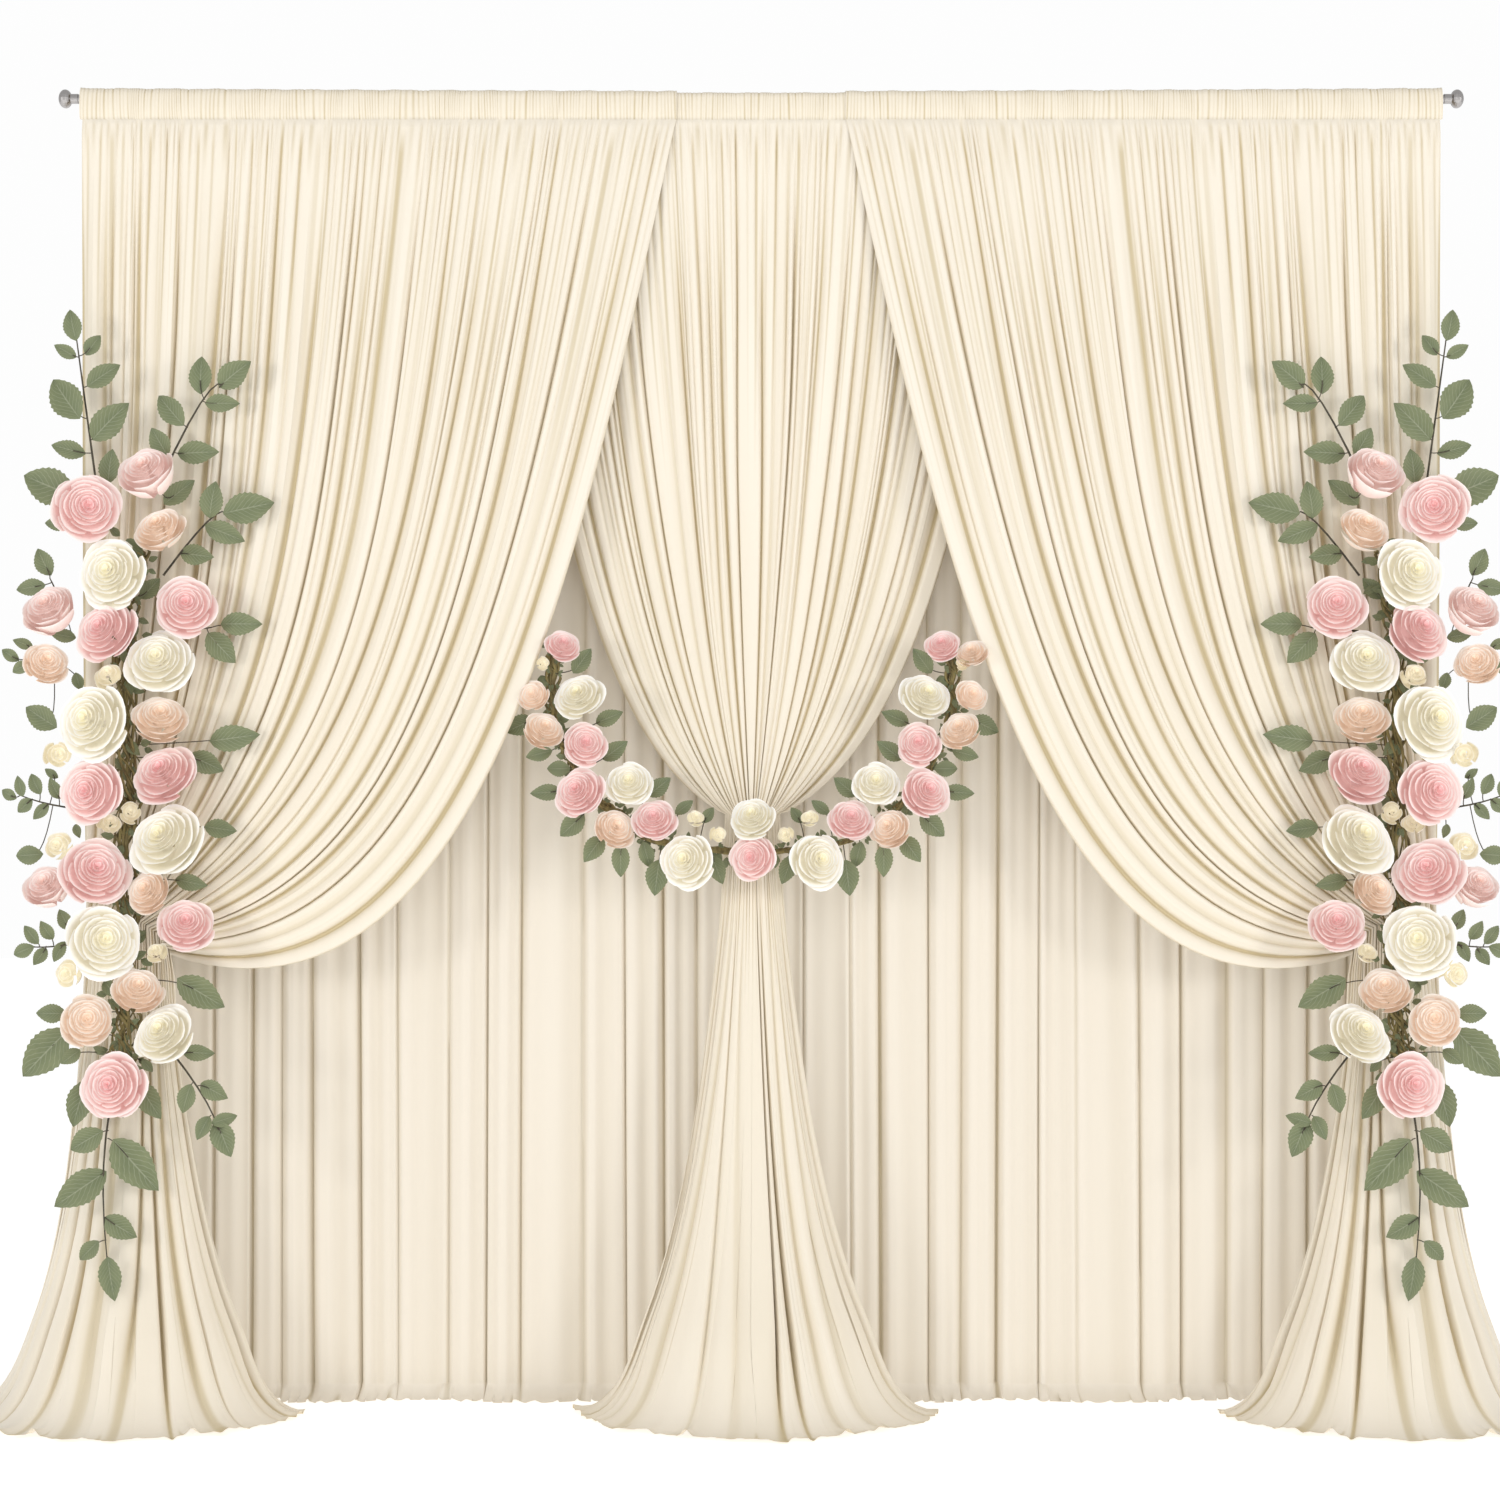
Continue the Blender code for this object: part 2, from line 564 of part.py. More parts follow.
def rest_on(piece, supports, gap):
    """Move a piece back along +Y until it would touch one of its supports, less the gap.

    The space is halved again and again between a place that is clear and one that isn't.
    """
    corners, faces = skin(piece)
    trees = [BVHTree.FromPolygons(*skin(support)) for support in supports]
    clear = 0.0
    blocked = 1.0
    while blocked - clear > 0.5 * gap:
        middle = 0.5 * (clear + blocked)
        moved = BVHTree.FromPolygons([corner + Vector((0.0, middle, 0.0)) for corner in corners], faces)
        if any(moved.overlap(tree) for tree in trees):
            blocked = middle
        else:
            clear = middle
    piece.location.y += clear - gap


def main():
    """Build every piece, then seat the garlands on the cloth."""
    for old in list(bpy.data.objects):
        bpy.data.objects.remove(old)
    parts = bpy.data.collections.new("satin_backdrop_curtain")
    cutters = bpy.data.collections.new("guides")
    bpy.context.scene.collection.children.link(parts)
    bpy.context.scene.collection.children.link(cutters)
    satin = material("ivory_satin", (0.91, 0.84, 0.70), 0.42)
    nickel = material("satin_nickel", (0.46, 0.44, 0.44), 0.30, 1.0)
    flowers = material("garland_mix", (0.55, 0.42, 0.34), 0.65)

    rod(parts, nickel)
    finial("finial_left", -1, parts, nickel)
    finial("finial_right", 1, parts, nickel)
    back = back_panel(parts, satin)
    left = side_panel("side_panel_left", parts, satin, mirror=False)
    right = side_panel("side_panel_right", parts, satin, mirror=True)
    centre = centre_panel(parts, satin)

    garland_left = garland("garland_left", SIDE_GARLAND, (1,), parts, cutters, flowers)
    garland_right = mirrored("garland_right", garland_left, parts)
    garland_centre = garland("garland_centre", CENTRE_GARLAND, (1, -1), parts, cutters, flowers)
    garland_centre.location.x = CENTRE_GARLAND_X
    for piece in (garland_left, garland_right, garland_centre):
        piece.location.y = CLEAR_OF_CLOTH
    bpy.context.view_layer.update()
    rest_on(garland_left, [left, back], REST)
    rest_on(garland_right, [right, back], REST)
    rest_on(garland_centre, [centre, back], REST)


if __name__ == "__main__":
    main()
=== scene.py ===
"""Looks of the satin backdrop curtain: satin panels on a nickel rod, dressed with three rose garlands.

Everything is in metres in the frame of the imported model: +Z up, the front faces -Y, and the origin is on
the rod's axis at mid-length.
"""

import logging
import math
from dataclasses import dataclass, field
from enum import Enum
from functools import partial
from typing import Any, Callable, Dict, List, Sequence, Tuple, Union

import bmesh
import bpy
import numpy as np
from mathutils import Matrix, Vector


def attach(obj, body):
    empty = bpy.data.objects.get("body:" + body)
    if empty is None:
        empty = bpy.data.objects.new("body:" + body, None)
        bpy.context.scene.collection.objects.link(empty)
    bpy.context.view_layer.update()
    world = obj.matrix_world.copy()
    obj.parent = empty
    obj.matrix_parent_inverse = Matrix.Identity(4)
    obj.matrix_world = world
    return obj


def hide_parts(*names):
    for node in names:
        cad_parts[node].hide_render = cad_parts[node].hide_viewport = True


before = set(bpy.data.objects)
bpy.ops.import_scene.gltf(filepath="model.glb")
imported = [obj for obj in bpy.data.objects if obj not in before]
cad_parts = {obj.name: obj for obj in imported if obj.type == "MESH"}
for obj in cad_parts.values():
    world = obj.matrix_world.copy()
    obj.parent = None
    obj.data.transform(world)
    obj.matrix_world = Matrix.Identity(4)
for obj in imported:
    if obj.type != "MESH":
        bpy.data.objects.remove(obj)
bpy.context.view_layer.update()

log = logging.getLogger("satin_backdrop_curtain")

MM = 0.001
DROP = 2.918  # rod axis to floor
FLOOR = -DROP
HALF_WIDTH = 1.524  # half of the gathered heading
CENTRE_HALF = 0.189  # half of the centre panel's heading
STITCH = -0.050  # height of the stitch line under the rod
LYING = FLOOR + 0.0012  # height of cloth that lies on the floor
TURN = 2.0 * math.pi
GOLDEN_TURN = math.radians(137.508)  # turn from one petal to the next

Pair = Tuple[float, float]
Triple = Tuple[float, float, float]
Number = Union["Value", float]


# -------- Shader maths --------


class Value:
    """A number that varies over a surface: a node's socket with arithmetic."""

    def __init__(self, maker: "Finish", socket: bpy.types.NodeSocket) -> None:
        """Wrap a socket of the finish that makes the nodes."""
        self.maker = maker
        self.socket = socket

    def maths(self, operation: str, first: Number, second: Number = 0.0) -> "Value":
        """Add a Math node.

        Args:
            operation: Blender's name of the operation.
            first: first operand.
            second: second operand, where the operation has one.

        Returns:
            The result as a new value.
        """
        node = self.maker.node("ShaderNodeMath", {"operation": operation}, {0: first, 1: second})
        return Value(self.maker, node.outputs[0])

    def __add__(self, other: Number) -> "Value":
        """Sum."""
        return self.maths("ADD", self, other)

    __radd__ = __add__

    def __sub__(self, other: Number) -> "Value":
        """Difference."""
        return self.maths("SUBTRACT", self, other)

    def __rsub__(self, other: Number) -> "Value":
        """Difference with the value on the right."""
        return self.maths("SUBTRACT", other, self)

    def __mul__(self, other: Number) -> "Value":
        """Product."""
        return self.maths("MULTIPLY", self, other)

    def sine(self) -> "Value":
        """Sine of the value in radians."""
        return self.maths("SINE", self)

    def size(self) -> "Value":
        """Absolute value."""
        return self.maths("ABSOLUTE", self)

    def ramp(self, low: float, high: float) -> "Value":
        """0 at low, 1 at high, smooth between.

        Args:
            low: value that gives 0.
            high: value that gives 1; it may lie below low.

        Returns:
            The eased share from 0 to 1.
        """
        settings = {"interpolation_type": "SMOOTHSTEP"}
        node = self.maker.node("ShaderNodeMapRange", settings, {0: self, 1: low, 2: high, 3: 0.0, 4: 1.0})
        return Value(self.maker, node.outputs[0])


class Finish:
    """A material under construction, with short ways to add nodes."""

    def __init__(self, name: str) -> None:
        """Start an empty node tree with a Principled shader and an output.

        Args:
            name: the material's name.
        """
        self.material = bpy.data.materials.new(name)
        self.material.use_nodes = True
        self.tree = self.material.node_tree
        self.tree.nodes.clear()
        self.shader = self.node("ShaderNodeBsdfPrincipled", {}, {})
        output = self.node("ShaderNodeOutputMaterial", {}, {})
        self.tree.links.new(self.shader.outputs[0], output.inputs[0])

    def node(self, kind: str, settings: Dict[str, Any], inputs: Dict[Union[int, str], Any]) -> bpy.types.Node:
        """Add any node.

        Args:
            kind: Blender's type name of the node.
            settings: attributes, which are set first.
            inputs: constants, values or sockets by input name or number.

        Returns:
            The new node.
        """
        made = self.tree.nodes.new(kind)
        for key, setting in settings.items():
            setattr(made, key, setting)
        for key, given in inputs.items():
            self.feed(made.inputs[key], given)
        return made

    def feed(self, socket: bpy.types.NodeSocket, given: Any) -> None:
        """Set or link one input.

        Args:
            socket: the input.
            given: a constant, a value or another socket.
        """
        if isinstance(given, Value):
            self.tree.links.new(given.socket, socket)
        elif isinstance(given, bpy.types.NodeSocket):
            self.tree.links.new(given, socket)
        elif isinstance(given, tuple) and len(given) == 3 and socket.type == "RGBA":
            socket.default_value = (*given, 1.0)
        else:
            socket.default_value = given

    def shade(self, inputs: Dict[str, Any]) -> None:
        """Set or link inputs of the shader by their names."""
        for key, given in inputs.items():
            self.feed(self.shader.inputs[key], given)

    def tint(self, tone: bpy.types.NodeSocket, glow: float) -> None:
        """Colour the shader, and let it give off light of the same colour.

        Args:
            tone: the colour's socket.
            glow: strength of that light.
        """
        self.shade({"Base Color": tone, "Emission Color": tone, "Emission Strength": glow})

    def uv(self, layer: str) -> Tuple[Value, Value]:
        """Read a UV layer.

        Args:
            layer: its name.

        Returns:
            Both coordinates as values.
        """
        source = self.node("ShaderNodeUVMap", {"uv_map": layer}, {})
        split = self.node("ShaderNodeSeparateXYZ", {}, {0: source.outputs[0]})
        return Value(self, split.outputs[0]), Value(self, split.outputs[1])

    def place(self) -> bpy.types.NodeSocket:
        """Object coordinates."""
        return self.node("ShaderNodeTexCoord", {}, {}).outputs["Object"]

    def noise(self, scale: float, detail: float = 2.0, stretch: Triple = (1.0, 1.0, 1.0)) -> Value:
        """Noise from 0 to 1 on Object coordinates.

        Args:
            scale: cells per metre.
            detail: octaves.
            stretch: scale along X, Y and Z.

        Returns:
            The noise as a value.
        """
        moved = self.node("ShaderNodeMapping", {}, {"Vector": self.place(), "Scale": stretch})
        inputs = {"Vector": moved.outputs[0], "Scale": scale, "Detail": detail}
        made = self.node("ShaderNodeTexNoise", {}, inputs)
        return Value(self, made.outputs[0])

    def mix(self, share: Number, first: Any, second: Any) -> bpy.types.NodeSocket:
        """Mix two colours.

        Args:
            share: 0 gives the first, 1 the second.
            first: a colour or a colour socket.
            second: a colour or a colour socket.

        Returns:
            The mixed colour's socket.
        """
        made = self.node("ShaderNodeMix", {"data_type": "RGBA"}, {})
        self.feed(made.inputs[0], share)
        self.feed(made.inputs[6], first)
        self.feed(made.inputs[7], second)
        return made.outputs[2]

    def bump(self, height: Value, distance: float, strength: float = 1.0) -> None:
        """Raise the surface by a height in units of distance."""
        made = self.node("ShaderNodeBump", {}, {"Height": height, "Distance": distance, "Strength": strength})
        self.shade({"Normal": made.outputs[0]})


@dataclass(frozen=True)
class Satin:
    """Ivory satin: a soft sheen, a fine weave, and painted shade: a warm deeper colour that fills the folds'
    valleys.
    """

    name: str
    light: Triple = (0.885, 0.815, 0.695)
    # painted shade: the colour of the folds' valleys
    deep: Triple = (0.600, 0.500, 0.310)
    # painted light: the cloth gives off its own colour to lift its shade
    glow: float = 0.0
    weave: float = 5200.0  # radians of the weave's wave in a metre

    def build(self) -> bpy.types.Material:
        """Make the material; UV "cloth" holds metres across and down, UV "relief" the tone of the painted
        fold shade.

        Returns:
            The material.
        """
        made = Finish(self.name)
        across, down = made.uv("cloth")
        ridge, _ = made.uv("relief")
        mottle = made.noise(3.0, 3.0, (1.0, 1.0, 0.35))
        # painted shade: the colour moves to the deep colour where the tone in UV "relief" is low, in the
        # folds' valleys; the mottle adds random tone
        valley = (1.0 - ridge) + (mottle - 0.5) * 0.06
        made.tint(made.mix(valley, self.light, self.deep), self.glow)
        made.shade({"Roughness": 0.46 + mottle * 0.12, "Specular IOR Level": 0.30})
        made.shade({"Sheen Weight": 0.15, "Sheen Roughness": 0.45})
        weave = (across * self.weave).sine() * (down * self.weave).sine()
        crease = made.noise(30.0, 3.0, (1.0, 1.0, 0.10))
        made.bump(crease * 0.9 + weave * 0.02, 0.0015, 0.45)
        return made.material


@dataclass(frozen=True)
class Nickel:
    """Satin nickel with a faint brushed grain along the rod."""

    name: str = "satin_nickel_finish"
    colour: Triple = (0.50, 0.48, 0.47)
    grain_shade: float = 0.86

    def build(self) -> bpy.types.Material:
        """Make the material.

        Returns:
            The material.
        """
        made = Finish(self.name)
        grain = made.noise(160.0, 3.0, (0.15, 1.0, 1.0))
        tone = made.mix(grain, self.colour, tuple(self.grain_shade * part for part in self.colour))
        made.shade({"Base Color": tone, "Roughness": 0.26 + grain * 0.14, "Metallic": 1.0})
        made.bump(grain, 0.0001, 0.3)
        return made.material


@dataclass(frozen=True)
class Petal:
    """Petals of one colour of rose: painted shade deep in the heart and at each petal's foot, a painted
    highlight pale at the rim.
    """

    name: str
    # painted shade at each petal's foot and in the heart
    deep: Triple
    middle: Triple
    # painted highlight along the rims
    rim: Triple
    heart: Triple
    # painted light: the petals give off their own colour to lift their shade
    glow: float = 0.07

    def build(self) -> bpy.types.Material:
        """Make the material; UV x is the petal's place from heart to outside, UV y runs foot to rim.

        Returns:
            The material.
        """
        made = Finish(self.name)
        ring, rise = made.uv("petal")
        veins = made.noise(55.0, 3.0)
        # painted shade: sunk grows towards each petal's foot and towards the heart; the deep colour is
        # painted where it is large, and the rim colour as a painted highlight where it is small; the veins
        # are random tone
        sunk = (1.0 - rise) * (5.2 - ring * 3.3)
        body = made.mix(sunk.ramp(0.10, 0.80), self.middle, self.deep)
        lit = made.mix(sunk.ramp(0.20, 0.04) * 0.85, body, self.rim)
        centre = made.mix(ring.ramp(0.42, 0.0) * sunk.ramp(0.05, 0.5) * 0.75, lit, self.heart)
        made.tint(made.mix(veins.ramp(0.35, 0.75) * 0.12, centre, self.rim), self.glow)
        made.shade({"Roughness": 0.62 + veins * 0.15, "Specular IOR Level": 0.25, "Sheen Weight": 0.25})
        made.bump(veins, 0.0008, 0.35)
        return made.material


@dataclass(frozen=True)
class LeafGreen:
    """Sage green leaf with a paler midrib and side veins."""

    name: str = "sage_leaf"
    light: Triple = (0.260, 0.285, 0.150)
    dark: Triple = (0.120, 0.150, 0.076)
    vein: Triple = (0.380, 0.400, 0.280)
    rib_pairs: float = 9.0

    def build(self) -> bpy.types.Material:
        """Make the material; UV x runs across the leaf from -1 to 1, UV y from foot to tip.

        Returns:
            The material.
        """
        made = Finish(self.name)
        side, along = made.uv("leaf")
        mottle = made.noise(38.0, 3.0)
        midrib = side.size().ramp(0.07, 0.0)
        ribs = ((along * self.rib_pairs - side.size() * 3.2) * TURN).sine().ramp(0.80, 1.0)
        blade = made.mix(mottle * 0.5 + side.size() * 0.35, self.dark, self.light)
        veined = made.mix(ribs * 0.40, blade, self.vein)
        made.shade({"Base Color": made.mix(midrib * 0.55, veined, self.vein)})
        made.shade({"Roughness": 0.46 + mottle * 0.16, "Specular IOR Level": 0.35})
        made.bump(ribs * 0.5 + midrib + mottle * 0.3, 0.0008, 0.5)
        return made.material


@dataclass(frozen=True)
class Twig:
    """Bark of stems and of the twisted twig core."""

    name: str
    light: Triple
    dark: Triple

    def build(self) -> bpy.types.Material:
        """Make the material.

        Returns:
            The material.
        """
        made = Finish(self.name)
        bark = made.noise(90.0, 4.0, (1.0, 1.0, 0.3))
        tone = made.mix(bark.ramp(0.3, 0.7), self.dark, self.light)
        made.shade({"Base Color": tone, "Roughness": 0.70 + bark * 0.2})
        made.bump(bark, 0.0010, 0.5)
        return made.material


@dataclass(frozen=True)
class StudioFloor:
    """Plain pale studio floor."""

    name: str = "pale_floor"
    grey: float = 0.93
    pale: float = 0.95
    glow: float = 0.46

    def build(self) -> bpy.types.Material:
        """Make the material.

        Returns:
            The material.
        """
        made = Finish(self.name)
        faint = made.noise(1.5, 2.0)
        tone = made.mix(faint, (self.grey,) * 3, (self.pale,) * 3)
        made.shade({"Base Color": tone, "Roughness": 0.8, "Specular IOR Level": 0.1})
        made.shade({"Emission Color": (1.0, 1.0, 1.0), "Emission Strength": self.glow})
        return made.material


# -------- Surfaces --------


def smooth_step(value: np.ndarray, low: float, high: float) -> np.ndarray:
    """0 at low, 1 at high, and 3r^2 - 2r^3 of the share r between."""
    ramp = np.clip((value - low) / (high - low), 0.0, 1.0)
    return ramp * ramp * (3.0 - 2.0 * ramp)


def cubic(controls: Sequence[Any], along: np.ndarray) -> np.ndarray:
    """Bezier cubic: the four controls weighted by the Bernstein polynomials of the share along.

    Args:
        controls: four points, or four rows of points.
        along: shares from 0 to 1.

    Returns:
        Points, one row for each share.
    """
    t = along.reshape(-1, 1, 1)
    p = [np.atleast_2d(np.asarray(point, dtype=float))[None] for point in controls]
    return (1 - t) ** 3 * p[0] + 3 * (1 - t) ** 2 * t * p[1] + 3 * (1 - t) * t * t * p[2] + t**3 * p[3]


def loft(left: np.ndarray, middle: np.ndarray, right: np.ndarray, across: np.ndarray) -> np.ndarray:
    """Surface through three lines, parabolic from side to side."""
    u = across.reshape(1, -1, 1)
    return left * (1 - u) * (1 - 2 * u) + middle * 4 * u * (1 - u) + right * u * (2 * u - 1)


def unit(vectors: np.ndarray) -> np.ndarray:
    """Vectors over their lengths."""
    return vectors / np.maximum(np.linalg.norm(vectors, axis=-1, keepdims=True), 1e-12)


def normals(points: np.ndarray) -> np.ndarray:
    """Unit normals of a grid: the cross product of its step down and its step across."""
    return unit(np.cross(np.gradient(points, axis=0), np.gradient(points, axis=1)))


def fold_spacing(points: np.ndarray, count: int) -> np.ndarray:
    """Width of one fold at each grid point, measured square to the fold lines.

    Args:
        points: the base surface.
        count: folds across it.

    Returns:
        Widths, (rows, columns).
    """
    down = unit(np.gradient(points, axis=0))
    over = np.gradient(points, axis=1) * (points.shape[1] - 1)
    return np.linalg.norm(np.cross(over, down), axis=-1) / count


def run_length(points: np.ndarray) -> np.ndarray:
    """Mean length down the cloth to each row, as a column."""
    steps = np.linalg.norm(np.diff(points, axis=0), axis=-1).mean(axis=1)
    return np.concatenate([[0.0], np.cumsum(steps)])[:, None]


def quadratic(first: np.ndarray, second: np.ndarray, third: np.ndarray, share: np.ndarray) -> np.ndarray:
    """Bezier curve of three controls, weighted by (1 - s)^2, 2s(1 - s) and s^2 at each share s."""
    return (1 - share) ** 2 * first + 2 * share * (1 - share) * second + share**2 * third


def cloth_layers(across: np.ndarray, points: np.ndarray, tone: np.ndarray) -> Dict[str, np.ndarray]:
    """UV layers of a cloth.

    Args:
        across: metres across the cloth at each column.
        points: the cloth's grid.
        tone: tone of the painted shade of its folds at each point.

    Returns:
        Layer "cloth" with metres across and down, and layer "relief" with the painted shade's tone.
    """
    cloth = np.stack(np.broadcast_arrays(across, run_length(points)), axis=-1)
    relief = np.stack([tone, np.zeros_like(tone)], axis=-1)
    return {"cloth": cloth[None], "relief": relief[None]}


def patches(
    name: str,
    points: np.ndarray,
    layers: Dict[str, np.ndarray],
    finish: bpy.types.Material,
) -> bpy.types.Object:
    """One smooth mesh from equal grids of points.

    Args:
        name: the piece's name.
        points: (patches, rows, columns, 3); rows run down and columns to the right seen from outside.
        layers: UV layers by name, each (patches, rows, columns, 2).
        finish: the material.

    Returns:
        The piece, riding on the frame.
    """
    count, rows, columns = points.shape[:3]
    index = np.arange(count * rows * columns).reshape(count, rows, columns)
    corners = [index[:, :-1, :-1], index[:, 1:, :-1], index[:, 1:, 1:], index[:, :-1, 1:]]
    faces = np.stack(corners, axis=-1).reshape(-1, 4)
    mesh = bpy.data.meshes.new(name)
    mesh.vertices.add(points.size // 3)
    mesh.vertices.foreach_set("co", np.ascontiguousarray(points, dtype=np.float32).ravel())
    mesh.loops.add(faces.size)
    mesh.loops.foreach_set("vertex_index", faces.ravel().astype(np.int32))
    mesh.polygons.add(len(faces))
    mesh.polygons.foreach_set("loop_start", np.arange(0, faces.size, 4, dtype=np.int32))
    mesh.update(calc_edges=True)
    for layer, values in layers.items():
        flat = values.reshape(-1, 2)[faces.ravel()]
        mesh.uv_layers.new(name=layer).data.foreach_set("uv", flat.astype(np.float32).ravel())
    mesh.shade_smooth()
    return dress(name, mesh, finish)


def dress(name: str, mesh: bpy.types.Mesh, finish: bpy.types.Material) -> bpy.types.Object:
    """Link a mesh as a piece, give it its finish and let it ride.

    Args:
        name: the piece's name.
        mesh: its mesh, in the frame.
        finish: the material.

    Returns:
        The piece.
    """
    mesh.materials.clear()
    mesh.materials.append(finish)
    piece = bpy.data.objects.new(name, mesh)
    bpy.context.scene.collection.objects.link(piece)
    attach(piece, "root")
    log.info("%s: %d faces", name, len(mesh.polygons))
    return piece


def tubes(paths: np.ndarray, radii: np.ndarray, sides: int) -> np.ndarray:
    """Tubes along paths: circles square to each path, as closed grids.

    Args:
        paths: (tubes, steps, 3).
        radii: (tubes, steps).
        sides: corners of the circle.

    Returns:
        Grids (tubes, steps, sides + 1, 3).
    """
    run = unit(np.gradient(paths, axis=1))
    helper = np.where(np.abs(run[..., 1:2]) > 0.9, np.array([1.0, 0.0, 0.0]), np.array([0.0, 1.0, 0.0]))
    first = unit(np.cross(run, helper))
    second = np.cross(run, first)
    turn = np.linspace(0.0, TURN, sides + 1)[None, None, :, None]
    ring = np.cos(turn) * first[:, :, None] + np.sin(turn) * second[:, :, None]
    return paths[:, :, None] + ring * radii[:, :, None, None]


# -------- Cloth --------


def dip(away: np.ndarray, half: Union[float, np.ndarray], power: float) -> np.ndarray:
    """Valley profile exp(-|away / half|^power): 1 in the middle, and crisper sides for a higher power."""
    return np.exp(-(np.abs(away / half) ** power))


def hem_gap_shade(place: np.ndarray, pace: float, half: float, lead: float) -> np.ndarray:
    """Painted shadow in the gaps under a hem's small gathers, from 0 to 1: narrow lines at uneven places,
    some left out.

    Args:
        place: fold number of each column.
        pace: gaps in one fold.
        half: half width of a gap in folds.
        lead: start of the uneven steps.

    Returns:
        Depth of the painted shadow at each column.
    """
    turns = pace * (place + 0.6 * np.sin(1.7 * place + lead))
    nearest = np.round(turns)
    kept = np.clip(1.5 * np.sin(4.1 * nearest + lead) + 0.7, 0.0, 1.0)
    return kept * dip(turns - nearest, pace * half, 2)


@dataclass
class Folds:
    """Uneven folds across a panel: broad ridges between narrow valleys.

    A fold's width is 1 + uneven (0.30 sin(2.4 i + lead) + 0.16 sin(5.1 i + 2 lead)), and the last one is the
    rolled edge.  A valley's cross-section is exp(-|d / w|^1.7), with d the distance from its middle in folds.
    """

    count: int
    lead: float  # start of the uneven widths, so that panels differ
    edge_band: float  # share of the width that the rolled edge takes
    valley: float = 0.15  # half width of a valley in folds
    drift: float = 0.18  # how far the fold lines wander, in folds
    uneven: float = 1.0
    crowd: float = 0.0
    growth: float = 0.6  # how much narrower the painted valley shade starts than it ends

    def number(self, across: np.ndarray) -> np.ndarray:
        """Number the folds across; crowd narrows them towards the edges.

        Args:
            across: shares across.

        Returns:
            Fold number, with its fraction, at each share.
        """
        across = across + self.crowd * np.sin(TURN * across) / TURN
        turn = np.arange(self.count)
        swing = 0.30 * np.sin(2.4 * turn + self.lead) + 0.16 * np.sin(5.1 * turn + 2.0 * self.lead)
        widths = 1.0 + self.uneven * swing
        widths = np.append(widths * (1.0 - self.edge_band) / widths.sum(), self.edge_band)
        return np.interp(across, np.concatenate([[0.0], np.cumsum(widths)]), np.arange(self.count + 2))

    def relief(self, across: np.ndarray, share: np.ndarray) -> Tuple[np.ndarray, np.ndarray]:
        """Height from 0 in a deep valley to 1 on a ridge, and the tone that goes with it.

        Each valley has its own width, depth and slant, and its depth changes slowly down the cloth.  Half of
        the folds start as two, with a shallower valley between that fades out by mid-height.  The tone is
        painted
        shade: narrower valley bands with crisp edges, depth exp(-|d / 0.62 w|^4), that grow wider downwards.
        A soft painted shade lies about each valley, and the shallower valleys get painted shade lines.

        Args:
            across: shares across, (columns).
            share: shares down the cloth, (rows, 1).

        Returns:
            Heights and tones, each (rows, columns).
        """
        place = self.number(across)[None, :]
        hold = np.sin(math.pi * across)[None, :] ** 0.5 * smooth_step(share, 0.0, 0.3)
        wander = np.sin(0.9 * place + 5.2 * share + self.lead) + 0.5 * np.sin(2.3 * place - 8.0 * share)
        fold = place + self.drift * hold * wander
        stretch = np.clip(np.gradient(fold, axis=1) / np.gradient(place, axis=1), 0.3, 2.0)
        nearest = np.round(fold)
        away = fold - nearest
        width = stretch * self.valley * (1.0 + 0.55 * np.sin(2.1 * nearest + self.lead))
        slant = 1.0 + 0.45 * np.tanh(9.0 * away) * np.sin(1.3 * nearest + 1.0)
        swell = np.sin(2.7 * nearest + self.lead + 2.5 * share * np.cos(1.9 * nearest))
        depth = np.where(nearest == self.count, 1.0, np.clip(0.66 + 0.44 * swell, 0.15, 1.0))
        reach = np.abs(away / (width * slant))
        crest = 0.90 + 0.10 * np.sin(1.9 * fold + 1.5 * share + self.lead)
        ridge = crest * (1.0 - depth * dip(reach, 1.0, 1.7))
        ridge = ridge - 0.08 * (1.0 - np.sqrt(np.abs(np.sin(math.pi * fold))))
        between = np.round(fold - 0.5) + 0.5
        off = np.abs(fold - between - 0.14 * np.sin(3.3 * between))
        keep = np.clip(1.6 * np.sin(5.3 * between + self.lead), 0.0, 1.0)
        keep = keep * (0.60 - 0.55 * smooth_step(share, 0.10, 0.55)) * (between < self.count)
        # painted shade: a soft shade about each valley and a slow swing across the folds; the tone below adds
        # crisp painted bands in the valleys and lines in the shallow valleys
        soft = 0.12 * dip(reach, 1.9, 2) + 0.09 * np.sin(2.6 * fold + self.lead) ** 2
        band = 0.62 * (1.0 - self.growth * (1.0 - smooth_step(share, 0.04, 0.40)))
        tone = 1.0 - soft - 0.88 * depth * dip(reach, band, 4) - 0.9 * keep * dip(off, 0.05, 4)
        height = ridge - keep * dip(off, 0.10, 1.6)
        return np.clip(height, 0.0, 1.0), np.clip(tone, 0.0, 1.0)

    def pleats(
        self, across: np.ndarray, per_fold: float, wobble: float, width: float = 0.22, power: float = 1.7
    ) -> np.ndarray:
        """Small pleats from 0 to 1, whose pace across the folds wobbles.

        A valley's cross-section is exp(-|d / width|^power), with d the distance from its middle in pleats.

        Args:
            across: shares across.
            per_fold: pleats in one fold.
            wobble: shift of the pleats in turns, at most.
            width: half width of a valley in pleats.
            power: how crisp the valley's sides are.

        Returns:
            Heights, (rows, columns); one row when across has one.
        """
        place = np.atleast_2d(self.number(across))
        sway = np.sin(1.3 * place + self.lead) + 0.2 * np.sin(7.9 * place)
        turns = per_fold * place + wobble * sway
        nearest = np.round(turns)
        depth = 0.66 + 0.34 * np.sin(2.9 * nearest + self.lead)
        return 1.0 - depth * dip(turns - nearest, width, power)


